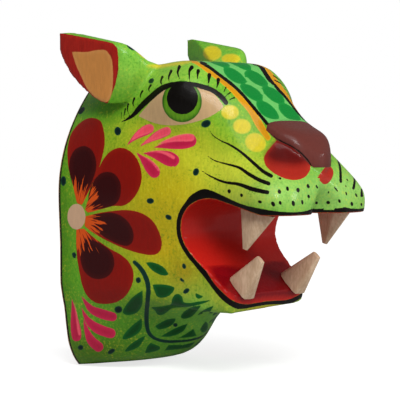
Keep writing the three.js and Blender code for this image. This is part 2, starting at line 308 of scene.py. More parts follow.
# The eye
EYE_WHITE = Patch((
    (138.5, 116), (138.5, 116), (146, 119.7), (155, 123.2), (166, 125.2), (179, 124.9), (192, 122.8),
    (206, 118.3), (217.4, 112.3), (223.8, 106.5), (223.8, 106.5), (217, 97), (208, 90), (190, 85),
    (170, 86), (155, 97)))
IRIS = Spot((182, 101.4), (19.8, 20.8))
PUPIL = Spot((182.4, 98.3), (15.6, 16))
LID = Stroke(
    (
        (121.8, 121.8), (127.5, 119), (133.5, 114.8), (141.5, 106), (152.2, 96), (161.5, 88.6), (171, 84.8),
        (183.4, 83.6), (193, 84.3), (201.3, 86.4), (208.5, 88.6), (214.7, 91.6), (221.5, 97), (226, 102.6)),
    (0.35, 1.1, 2, 2.8, 3, 2.9, 2.5, 2.1, 2.2, 2.5, 2.5, 2.4, 2.5, 2.3))
LASHES = (
    line(((121.4, 112.5), (121.6, 119.6)), 0.5, 0.25),
    line(((125.5, 108.9), (124.4, 113.5), (124.3, 118.3)), 0.75, 0.25),
    line(((128.3, 104), (127.5, 109.8), (129.4, 115.1)), 0.95, 0.25),
    line(((134.4, 98.2), (132.9, 103.5), (134.8, 108)), 1, 0.25),
    line(((142.5, 91), (140.5, 94.8), (140.6, 98)), 1, 0.3),
    line(((150.7, 85.2), (148.8, 88.6), (149.5, 91.8)), 1.1, 0.3),
    line(((162.5, 76.8), (160.8, 81.4), (161.5, 84.2)), 1.2, 0.5),
    line(((171.3, 70.9), (168.8, 76.8), (169.3, 81.8)), 1.35, 0.3),
    line(((179.4, 66.7), (177.7, 72.7), (179.6, 79)), 1.6, 0.3),
    line(((191.8, 67.3), (189.3, 71.6), (189.7, 81)), 2, 0.3),
    line(((198.2, 70.8), (197.8, 74), (197.4, 79.5)), 1.9, 0.3),
    line(((209.3, 75), (208.9, 79.4), (208.1, 85.7)), 2.1, 0.3),
    line(((218.3, 79.8), (217.8, 83.9), (216.6, 88.1)), 1.9, 0.3),
    line(((225.9, 87.5), (224.6, 90), (223.6, 93)), 0.8, 0.3),
    line(((230.3, 92.4), (227.6, 94.6), (225.4, 96.6)), 0.8, 0.3),
    line(((234.3, 97.7), (231.4, 98.8), (229, 100.4)), 0.8, 0.3),
)

# The flower on the cheek
PETALS = (
    Patch((
        (82, 205), (82, 205), (93.5, 181), (99.9, 165), (103.3, 152), (104.8, 141), (103.6, 130),
        (100.8, 121.5), (94, 118), (86, 119), (78, 124.5), (71.5, 133), (68.3, 143), (67.4, 154),
        (68.5, 168), (72.4, 183), (76.9, 203), (76.9, 203))),
    Patch((
        (85, 209.5), (85, 209.5), (89.7, 194.8), (95.8, 175.4), (102.6, 160.5), (110, 151.6), (119, 147.8),
        (128.5, 150), (136.2, 157.6), (140.8, 168.5), (141.6, 180), (138.2, 191), (131.4, 200.5),
        (123, 205.8), (113, 206), (101, 209.3), (88, 212.8), (88, 212.8))),
    Patch((
        (85.6, 216.4), (85.6, 216.4), (97.9, 213.2), (112, 211), (126.4, 210), (139.7, 212.4), (150, 218.3),
        (157.4, 228), (161.6, 240.5), (160.8, 249.5), (155.6, 254.4), (144.7, 254.4), (127.7, 249.8),
        (109.5, 242), (95, 234), (84.5, 226), (84.5, 226))),
    Patch((
        (84, 228.8), (84, 228.8), (95, 238.3), (109, 248), (122, 255.5), (130.2, 263.8), (133.6, 274),
        (131.9, 285), (126.5, 295), (118, 301.5), (107, 304), (96.2, 302.8), (87.7, 296.5), (82.3, 285.6),
        (79.2, 271), (76.8, 255), (76.2, 237), (76.6, 229), (76.6, 229))),
)
PETAL_HEARTS = (
    Patch((
        (81, 193.5), (74.5, 188), (70.6, 178), (69, 168), (70.3, 157.5), (75.4, 149.3), (83.6, 146),
        (90.9, 149), (95.2, 157), (96.3, 166.5), (94, 176.5), (88.5, 188))),
    Patch((
        (88.3, 199), (90, 189), (94, 180.5), (99.9, 174), (106.5, 171.8), (114.2, 173.8), (119.9, 181.5),
        (121, 191), (118.3, 200.9), (112, 206), (100, 208.6), (91, 208))),
    Patch((
        (90, 217), (99, 214), (111, 212.6), (121, 215.8), (129, 223), (133.4, 233), (132, 242.5),
        (125.3, 245.9), (113.2, 242), (101, 235), (90.5, 226.5))),
    Patch((
        (83.5, 238), (92, 239.5), (105, 246.5), (112.4, 254), (114.2, 265), (110, 274.5), (101.3, 278.9),
        (91.4, 277.7), (83.5, 270), (80.3, 258), (80.8, 246))),
)
FLOWER_MIDDLE = Spot((76.4, 216.7), (9, 12.8))

# Drops and dots
DROPS = (
    drop((127.4, 144.8), (149.2, 128.8), 4.9, -1.6), drop((139.7, 146.6), (166.6, 131.4), 4.6, -1.0),
    drop((154.5, 147.2), (190, 140.6), 7, 0.4), drop((143.8, 153.2), (172.6, 160.2), 7.2, -1.2),
    drop((136.4, 152.6), (154.4, 172.4), 6, -0.6), drop((72, 299), (76.6, 336.5), 5.1),
    Stroke(((81.7, 296.5), (90.6, 308.5), (101.5, 313.8), (112.4, 316.8)), (0.3, 3.4, 4.9, 4.5)),
    Stroke(((81.6, 308), (87.7, 320), (97.6, 328.6), (110.6, 333.3)), (0.3, 2.9, 5, 5)),
    Stroke(((83.6, 319.5), (86.8, 331), (91.6, 340.8), (98.4, 346.8)), (0.3, 2.6, 4.6, 5)),
)
DROP_LIGHTS = (
    drop((130.5, 141.6), (149.8, 128.4), 4.3, -1.6), drop((142, 145), (167, 131), 4.2, -0.8),
    drop((157.5, 144.6), (191, 137.6), 3.8, -2.0), drop((147.5, 152.2), (173.5, 157.6), 1.6, -3.0),
    drop((141.5, 155.6), (158.6, 170), 1.1, -2.0), drop((74.6, 304), (79.4, 334), 1.2),
)
# Painted shade: the upper part of the near nostril, darkened where it lies under the overhang of the nose
# pad.
NOSTRIL_SHADE = Patch(
    (
        (277.7, 137), (268, 148), (266, 156), (272, 162), (284, 165), (296, 166), (305, 164), (310, 158),
        (300, 146), (288, 138)), Side.NEAR)
CROWN_YELLOW = Patch((
    (146, 66), (158, 64), (170, 63), (184, 61), (194, 60.5), (186, 63.6), (172, 65.8), (158, 68)))
LIPS = Patch((
    (202, 189.2), (212, 190.8), (223.7, 196), (238.6, 202.9), (252.4, 207), (275.4, 211), (292.6, 212.2),
    (305.2, 211), (312, 208.6), (312, 208.6), (330, 240), (320, 270), (277, 303), (277, 303), (259, 306),
    (242, 309), (234, 307.8), (223, 300.6), (213.4, 289.7), (205, 278.2), (195, 266), (186, 253.4),
    (178.4, 240), (177, 228), (179.8, 214), (188.6, 197.6)))
JAW_RED = Patch((
    (205, 264), (205, 268.2), (213.4, 282), (221.9, 291.6), (232.6, 300.4), (245, 304.2), (259, 302.4),
    (279, 299.2), (279, 299.2), (285, 280), (230, 262)))
DOTS = (
    Spot((117.8, 131.1), (3.4, 4.3)), Spot((151.2, 80.9), (3.1, 2.3), -40),
    Spot((206, 123.7), (5, 3.6), -22), Spot((196, 171.9), (3, 3.9), 20), Spot((63.4, 181), (2.7, 5)),
    Spot((81.5, 110.6), (4.4, 2.4), -50), Spot((150.3, 200.9), (3.7, 2.9)),
    Spot((168.5, 217.2), (3.4, 2.4), 30), Spot((74.2, 255.2), (2.2, 3.3), -15),
    Spot((138.3, 280.1), (2.7, 3)), Spot((118.4, 309.5), (3.9, 3.5)), Spot((80.6, 347.5), (2.8, 2.6)),
    Spot((111.3, 351.4), (3.9, 2.2), -32), Spot((184.1, 266.3), (2, 2.9), -20),
    Spot((182.2, 280.2), (3.4, 1.3), 42), Spot((186.3, 291), (3.6, 2.3), -38), Spot((175.4, 325), (2.3, 2)),
    Spot((207.9, 322.3), (2.7, 1.4), -58), Spot((131, 47), (5, 2.3), 36, Side.NEAR),
)

# The branch under the cheek, its vine and its leaves
STEM = Stroke(
    (
        (134.4, 262.2), (139.8, 267.4), (145.2, 275.9), (148.3, 287), (147.7, 300), (146.5, 314.7),
        (147.1, 326.8), (149.8, 334.1), (156, 338.9), (166.5, 341.4), (182.3, 341), (196.5, 339.4)),
    (1.9, 2.3, 2.4, 2.4, 2.3, 2.3, 2.1, 1.9, 1.6, 1.5, 1.2, 0.7))
VINE = Patch((
    (150.8, 307), (150.8, 307), (160.5, 306.4), (170.6, 304.2), (171.9, 299.5), (174.3, 295.2),
    (178.4, 293.9), (182.2, 296.8), (183.6, 302), (190, 302.9), (199, 301.4), (211.4, 299.8),
    (211.4, 299.8), (205, 302.9), (196, 305.4), (186, 307.2), (178, 307.6), (171.6, 308.6), (166.8, 312.4),
    (162, 315.1), (157.4, 314.4), (155, 310.8)))
LEAVES = (
    Patch((
        (145.3, 262), (145.3, 262), (154.4, 262.7), (163.6, 267.2), (169.6, 275.4), (169.6, 275.4),
        (161.5, 275.2), (152, 270.2))),
    Patch((
        (152.4, 284.4), (152.4, 284.4), (164.1, 284.5), (174.4, 287.5), (171, 294.2), (164.1, 297.6),
        (157.6, 296.8), (154.4, 291))),
    Patch((
        (142.6, 290.3), (142.6, 290.3), (132.6, 297.2), (125, 306.5), (122.9, 312.5), (128.2, 315.1),
        (137, 312.4), (142.3, 304.2))),
    Patch((
        (141.8, 318.2), (141.8, 318.2), (132.2, 325.4), (124.8, 333.6), (122.8, 339.4), (132.6, 336.9),
        (141.2, 329.4))),
    Patch((
        (145.8, 335.4), (145.8, 335.4), (137, 339.6), (128.8, 345.8), (125.2, 351.8), (137.2, 347.8),
        (142.6, 341.6))),
    Patch((
        (150.6, 342.6), (150.6, 342.6), (159.8, 346.8), (157.4, 350.6), (145, 353.4), (145, 353.4),
        (147, 347))),
    Patch(((195.4, 292.8), (195.4, 292.8), (203.6, 296.5), (203.6, 296.5), (199, 298.8), (195.8, 296.8))),
    Patch((
        (201.4, 305.5), (201.4, 305.5), (192.5, 306.8), (184.2, 311.6), (180.8, 317), (185, 318.8),
        (193, 315.6))),
    Patch((
        (214, 305.4), (214, 305.4), (205.4, 309), (198.4, 314), (195.8, 319), (200, 319.8), (208, 314.6))),
    Patch((
        (175.8, 318.2), (175.8, 318.2), (166.5, 319.6), (155, 326), (155, 326), (159.4, 329.4),
        (169.4, 326.8), (174.6, 322))),
    Patch((
        (187.8, 323.6), (187.8, 323.6), (179, 326.6), (170, 331), (160.4, 336.6), (160.4, 336.6),
        (171.4, 336.4), (182.6, 331.6))),
    Patch((
        (203.6, 324.2), (203.6, 324.2), (194, 328.6), (185.6, 334), (178.4, 338.2), (178.4, 338.2),
        (189.5, 337), (198.4, 332.4))),
    Patch(((168.6, 345), (168.6, 345), (183.8, 345.2), (180, 348.8), (164.4, 350.6), (164.4, 350.6))),
)

# The snout: yellow spots, the stripes beside the band, the nostrils, whiskers and freckles
SNOUT_SPOTS = (
    Spot((230, 112.2), (8.8, 7.2)), Spot((242, 126.4), (9, 7.4), 8), Spot((255.6, 142.6), (10.6, 9.2), 25),
)
BAND_EDGE = Stroke(
    (
        (201.3, 62.6), (210.2, 67.9), (219.1, 74.6), (228.1, 81.3), (237, 88.9), (245.9, 98.3),
        (257.6, 112.3), (267, 123.4)), (1.5, 1.6, 1.6, 1.7, 1.6, 1.6, 1.7, 1.7))
ORANGE_STRIPE = Stroke(
    (
        (192.4, 62), (197.7, 63.6), (210.2, 72.3), (223.6, 82.2), (234.3, 92), (244.1, 102.8), (252, 112),
        (259.6, 125), (268, 137.8)), (0.9, 1.6, 2.1, 2.3, 2.5, 2.9, 3.3, 3.8, 2.6))
NOSTRILS = (
    Patch(
        (
            (277.7, 139.4), (277.7, 139.4), (271.4, 146), (265.2, 154.4), (264, 160), (266.4, 166.4),
            (274.2, 173.3), (284.6, 178.4), (295, 180.1), (304.1, 177.6), (309.6, 171), (310.4, 165.1),
            (308, 158), (300, 151), (290, 144)), Side.NEAR),
    Patch(
        (
            (317, 176.4), (319.4, 174.6), (323.5, 169), (328, 165.5), (332.4, 168.6), (333.2, 174.6),
            (330, 181.2), (324.8, 184.4), (320.6, 181.6)), Side.FAR),
)
WHISKERS = (
    Stroke(
        (
            (209.7, 130.7), (213.4, 135.8), (221.4, 141), (229.4, 144.6), (240.9, 152), (252.4, 161.9),
            (262.7, 171), (271.2, 176)), (0.25, 0.5, 0.6, 0.95, 1.3, 1.6, 1.75, 1.9)),
    Stroke(
        (
            (207.6, 155.9), (214.5, 160.4), (223.7, 163.3), (238.6, 167.4), (249, 174.2), (259.3, 180),
            (268.8, 183.6)), (0.25, 0.6, 0.8, 1.35, 1.75, 1.9, 1.9)),
    Stroke(
        ((201.9, 170.8), (212.2, 177.2), (224.9, 182.2), (238.6, 184.2), (252.4, 189.1), (267.4, 192.4)),
        (0.25, 0.9, 1.25, 1.65, 2.2, 2)),
)
FAR_WHISKERS = (
    Stroke(((336.6, 156.8), (340, 167.4), (340.7, 181.6)), (0.6, 1.1, 1.4), Side.FAR),
    Stroke(((353.3, 173.7), (354.6, 181.2), (353.4, 188.4)), (0.4, 1.1, 1.3), Side.FAR),
    Stroke(((361.6, 189.2), (361.8, 195.6)), (0.7, 1.5), Side.FAR),
)
# Painted shade: a thin dark line under the lower edge of the nose pad, where it overhangs the nostril.
PAD_EDGE_PAINTED_SHADE = Stroke(
    (
        (271.5, 133.8), (275.6, 137.8), (282.5, 141.8), (292.8, 147), (300.8, 152.8), (308.3, 160.8),
        (311.6, 166.4)), (0.25, 0.5, 0.6, 0.6, 0.65, 0.7, 0.4))
FRECKLES = (
    Spot((280, 178.4), (1.5, 1.2), 20, Side.NEAR), Spot((287.5, 188.7), (1.4, 2.4), -15, Side.NEAR),
    Spot((279.4, 191.6), (1.7, 2.5), -15, Side.NEAR), Spot((298, 190.1), (1.7, 2.4), -10, Side.NEAR),
    Spot((308.2, 186.2), (1.5, 2.3), -20, Side.NEAR), Spot((316.9, 186.7), (0.9, 2), -25, Side.NEAR),
    Spot((308.6, 196.4), (1.3, 2.1), -15, Side.NEAR), Spot((259.9, 201.8), (2, 1.5), 20, Side.NEAR),
    Spot((273.1, 204), (1.8, 2.7), -30, Side.NEAR), Spot((280.2, 202.8), (1.3, 2), -20, Side.NEAR),
    Spot((293.2, 203.4), (1.7, 2.9), -12, Side.NEAR), Spot((302.3, 202.2), (1.2, 2.4), -10, Side.NEAR),
    Spot((229.2, 191.2), (1.7, 2.2), -10, Side.NEAR), Spot((241.5, 195.3), (1.4, 1.9), -15, Side.NEAR),
    Spot((316.5, 202.9), (1.5, 1.5), 0, Side.FAR), Spot((328.2, 202.5), (1.9, 1.8), 0, Side.FAR),
    Spot((328.5, 192.2), (0.8, 1.3), 0, Side.FAR), Spot((336, 189), (0.8, 3), -35, Side.FAR),
    Spot((346.2, 193.6), (0.8, 2.2), -20, Side.FAR), Spot((356.2, 195.2), (0.9, 2.2), -25, Side.FAR),
    Spot((339.4, 201), (1.2, 2.1), -20, Side.FAR), Spot((351.8, 203.9), (1.4, 2.2), -10, Side.FAR),
    Spot((361.4, 204.5), (1, 1.6), -10, Side.FAR), Spot((347.4, 179.9), (0.6, 1.5), -35, Side.FAR),
    Spot((346, 186.3), (0.6, 1.5), -35, Side.FAR),
)

# The ears: the tan field inside the red face, and the yellow spots on the inner sides
EAR_FIELD = Patch((
    (71.8, 51.2), (71.8, 51.2), (86, 52.2), (96, 50.2), (105, 50), (110, 54.6), (112, 61), (113, 72),
    (112.8, 83), (111.4, 94.4), (107.6, 101.6), (101, 100.8), (93, 95.6), (86.4, 87.4), (81.6, 77),
    (76, 65)))
EAR_SPOTS = (Spot((212.2, 53.2), (9.2, 7.4), 0, Side.FAR_BOTH), Spot((231, 58.8), (9.4, 5), 0, Side.FAR_BOTH))


@dataclass(frozen=True)
class Wash:
    """A broad, soft-edged area of the ground colour, round a pixel of the near half; some paint shade and one
    paints light.
    """

    centre: Pixel
    half: Pixel
    colour: Rgb
    strength: float = 1.0


GROUND = (94, 166, 36)
WASHES_WITH_PAINTED_LIGHT_AND_SHADE = (
    Wash((150, 60), (110, 34), (118, 188, 62)),
    Wash((152, 76), (46, 16), (140, 194, 66), 0.8),
    # Partly painted shade: a darker green down the back strip of the side, which faces away from the light.
    Wash((62, 240), (12, 160), (76, 134, 20)),
    Wash((110, 150), (40, 48), (128, 168, 30), 0.8),
    # Partly painted shade: a darker green under the ear.
    Wash((102, 108), (26, 14), (74, 156, 24), 0.9),
    Wash((140, 126), (22, 10), (158, 184, 40), 0.8),
    Wash((175, 190), (52, 62), (200, 182, 18)),
    Wash((175, 150), (58, 24), (186, 190, 34), 0.8),
    Wash((150, 225), (46, 60), (188, 166, 10), 0.9),
    Wash((165, 248), (20, 18), (200, 170, 12), 0.8),
    Wash((184, 274), (24, 20), (168, 136, 10), 0.9),
    Wash((192, 292), (40, 14), (172, 158, 30), 0.8),
    Wash((216, 302), (16, 12), (184, 166, 34), 0.9),
    Wash((262, 308), (40, 8), (176, 158, 34), 0.9),
    Wash((235, 168), (46, 28), (206, 212, 58), 0.9),
    Wash((250, 196), (40, 10), (196, 200, 70), 0.6),
    Wash((284, 192), (34, 22), (146, 200, 96), 0.9),
    Wash((335, 194), (36, 30), (146, 200, 98), 0.9),
    Wash((250, 128), (34, 28), (126, 178, 40), 0.85),
    Wash((180, 72), (62, 13), (134, 190, 62), 0.7),
    Wash((150, 330), (92, 30), (72, 128, 32), 0.9),
    # Painted light: a lighter green under the jaw, standing in for light bounced up from below.
    Wash((198, 320), (34, 34), (116, 184, 70), 0.85),
    # Painted shade: a darker green along the bottom of the head, which faces down.
    Wash((92, 350), (44, 20), (78, 108, 14), 0.8),
)


@dataclass(frozen=True)
class Mouth:
    """The side profile of the sawn mouth, as reach and height in metres."""

    palate_front: tuple[float, float] = (192 * MM, -6.5 * MM)
    palate_back: tuple[float, float] = (152 * MM, 2 * MM)
    corner_reach: float = 115 * MM
    corner_height: float = -22 * MM
    bed_back: tuple[float, float] = (134 * MM, -47.5 * MM)
    bed_front: tuple[float, float] = (160 * MM, -70 * MM)
    away: float = 80 * MM

    def profile(self) -> np.ndarray:
        """Gives the closed outline of the open mouth, seen from the side."""
        def bend(a: tuple, b: tuple, c: tuple, d: tuple) -> list[tuple[float, float]]:
            """Gives the inner points of a cubic curve."""
            t = np.linspace(0, 1, 14)[1:-1, None]
            a, b, c, d = (np.array(k) for k in (a, b, c, d))
            curve = a * (1 - t) ** 3 + 3 * b * t * (1 - t) ** 2 + 3 * c * t * t * (1 - t) + d * t ** 3
            return list(map(tuple, curve))
        corner = (self.corner_reach, self.corner_height)
        top = bend(self.palate_back, (128 * MM, 9 * MM), (self.corner_reach, -8 * MM), corner)
        low = bend(corner, (self.corner_reach, -31 * MM), (122 * MM, -38 * MM), self.bed_back)
        front = self.palate_front[0] + self.away
        return np.array([
            (front, self.palate_front[1]), self.palate_front, self.palate_back, *top, corner, *low,
            self.bed_back, self.bed_front, (self.bed_front[0] + self.away, self.bed_front[1] - self.away),
            (front, self.bed_front[1] - self.away)])


@dataclass(frozen=True)
class Back:
    """The hollow back: an oval bowl that narrows towards the face, and a sloping nail hole above it."""

    depth: float = 72 * MM
    half_width: float = 54.5 * MM
    middle: float = -14 * MM
    up: float = 80 * MM
    down: float = 100 * MM
    nail_radius: float = 4 * MM
    nail_height: float = 82.5 * MM
    nail_slope: float = math.radians(-15)

    def bare(self, x: np.ndarray, reach: np.ndarray, height: np.ndarray) -> np.ndarray:
        """Measures how far points lie outside the bare wood: the bowl, the flat rim and the nail hole.

        Args:
            x: how far to the side each point lies.
            reach: how far in front of the wall it lies.
            height: its height over the level line.

        Returns:
            Roughly millimetres, negative on bare wood.
        """
        narrow = np.cos(np.arcsin(np.clip(reach / self.depth, 0, 1)) * 0.8)
        high = self.middle + self.up * narrow
        low = self.middle - self.down * narrow
        u = np.abs(x) / (self.half_width * narrow)
        v = np.abs(height - (high + low) / 2) / ((high - low) / 2)
        bowl = ((u ** 2.4 + v ** 2.6) ** (1 / 2.5) - 1.1) * 40
        bowl = np.where(reach > self.depth + 4 * MM, FAR_AWAY, bowl)
        flat = reach / MM - 0.3
        flat = np.where(flat < 0, flat * 5, flat)
        run = self.nail_height - math.tan(self.nail_slope) * reach
        nail = (np.hypot(x, height - run) - self.nail_radius) / MM - 0.9
        nail = np.where(reach < self.depth, nail, FAR_AWAY)
        return np.minimum(np.minimum(bowl, flat), nail)


@dataclass(frozen=True)
class Coat:
    """One colour of paint: its layer, the colour at the rim of each mark, and the colour in its heart.

    The depth is how far in the heart begins, the edge how soft the border is, and the detail how
    finely the wood is cut along the border, all in millimetres.
    """

    layer: str
    rim: Rgb
    heart: Rgb
    depth: float = 1.5
    edge: float = 0.16
    streaks: float = 0.25
    detail: float = 1.4


COATS = (
    Coat("crown_yellow", (206, 194, 46), (214, 200, 50), 3.0, 1.1, 0.5, 3.0),
    Coat("band", (104, 186, 84), (104, 190, 96), streaks=0.2),
    Coat("scales", (16, 142, 52), (0, 130, 46), 2.0),
    Coat("orange_stripe", (226, 162, 22), (206, 142, 8), 1.0, detail=1.1),
    Coat("yellow_spots", (206, 194, 46), (210, 192, 36), 3.0, 0.6, 0.4, 1.8),
    Coat("ear_red", (140, 18, 12), (160, 30, 20), 2.5, streaks=0.6),
    Coat("ear_tan", (206, 142, 78), (200, 134, 68), 3.0, 0.3, 0.4),
    Coat("petals", (142, 22, 4), (132, 12, 2), 4.0, streaks=0.4),
    Coat("petal_hearts", (66, 4, 4), (50, 0, 2), 4.0, 0.3),
    Coat("flower_middle", (204, 166, 134), (204, 166, 134)),
    Coat("drops", (206, 40, 80), (184, 26, 66), 3.0, 0.2, 0.5, 1.2),
    Coat("drop_lights", (246, 96, 112), (240, 76, 98), 2.0, 0.5, 0.5, 1.4),
    Coat("leaves", (10, 92, 32), (4, 66, 18), 2.5, 0.2, 0.5, 1.3),
    Coat("stem", (6, 62, 44), (4, 46, 36), 1.0, detail=1.0),
    Coat("dots", (4, 62, 46), (0, 26, 24), 1.4, 0.25, detail=0.85),
    Coat("eye_white", (194, 160, 116), (192, 158, 114), 3.0, streaks=0.3),
    Coat("iris", (34, 92, 6), (92, 146, 22), 2.6, 0.2, 0.5, 0.9),
    Coat("nostrils", (168, 40, 24), (158, 34, 22), 4.0),
    # nostril_shade is painted shade: the darker red under the overhang of the nose pad.
    Coat("nostril_shade", (112, 14, 8), (84, 8, 6), 6.0, 3.0, detail=3.0),
    Coat("nose", (92, 42, 36), (100, 48, 42), 3.0),
    Coat("black", (13, 8, 6), (8, 5, 3), 1.0, 0.14, detail=0.9),
    Coat("rim_line", (22, 14, 10), (18, 11, 8), 1.0, 0.3, detail=1.6),
    Coat("mouth_red", (190, 32, 22), (122, 2, 12), 5.0, 0.2, 0.5),
)


class Canvas:
    """The vertices of the carved head, and how far each lies outside every layer of paint, in mm."""

    def __init__(self, piece: bpy.types.Object) -> None:
        """Reads the vertices and normals of a piece."""
        mesh = piece.data
        n = len(mesh.vertices)
        flat = np.empty(n * 3, np.float32)
        mesh.vertices.foreach_get("co", flat)
        self.points = flat.reshape(n, 3).astype(float)
        normals = np.empty(n * 3, np.float32)
        mesh.vertex_normals.foreach_get("vector", normals)
        self.normals = normals.reshape(n, 3).astype(float)
        self.reach = -self.points[:, 1]
        self.height = self.points[:, 2] - LEVEL_LINE
        self.layers: dict[str, np.ndarray] = {}
        self.strands = np.zeros((n, 3))
        self.sides = {side: self._seen(side) for side in Side}

    def _seen(self, side: Side) -> dict[str, np.ndarray]:
        """Gives pixels, folded points and which vertices a mark of a side may touch."""
        sign = {Side.BOTH: -1.0, Side.FAR_BOTH: 1.0}.get(side)
        points, normals = self.points.copy(), self.normals.copy()
        if sign is not None:
            flip = np.where(self.points[:, 0] * sign < 0, -1.0, 1.0)
            points[:, 0] *= flip
            normals[:, 0] *= flip
        ray = VIEW.eye() - points
        facing = (normals * ray).sum(1) / np.linalg.norm(ray, axis=1)
        allowed = facing > -0.12
        if side is Side.NEAR:
            allowed &= self.points[:, 0] < 9 * MM
        if side is Side.FAR:
            allowed &= self.points[:, 0] > -9 * MM
        depth = np.linalg.norm(ray, axis=1)
        return {"px": VIEW.pixels(points), "points": points, "allowed": allowed, "depth": depth}

    def layer(self, name: str) -> np.ndarray:
        """Gives a layer's distances, starting it far from any paint."""
        return self.layers.setdefault(name, np.full(len(self.points), FAR_AWAY))

    def put(self, name: str, marks: tuple[Mark, ...], margin: float = 12.0) -> None:
        """Paints marks on a layer.

        Args:
            name: the layer.
            marks: strokes, patches and spots.
            margin: how far round each mark its distance is kept, in pixels.
        """
        target = self.layer(name)
        for mark in marks:
            seen = self.sides[mark.side]
            px, corners = seen["px"], mark.corners()
            low, high = corners.min(0) - margin - mark.thickness(), corners.max(0) + margin + mark.thickness()
            near = np.flatnonzero(seen["allowed"] & (px > low).all(1) & (px < high).all(1))
            if not len(near):
                log.warning("no wood under a mark of %s at %s", name, corners[0])
                continue
            middle = corners.mean(0)
            ring = near[np.argsort(((px[near] - middle) ** 2).sum(1))[:12]]
            anchor = seen["points"][ring[np.argmin(seen["depth"][ring])]]
            spread = float(np.linalg.norm(high - low)) / 2 * VIEW.mm_per_pixel() * MM
            near = near[np.linalg.norm(seen["points"][near] - anchor, axis=1) < spread * 1.6 + 8 * MM]
            gap = mark.distance(px[near]) * VIEW.mm_per_pixel()
            target[near] = np.minimum(target[near], gap)


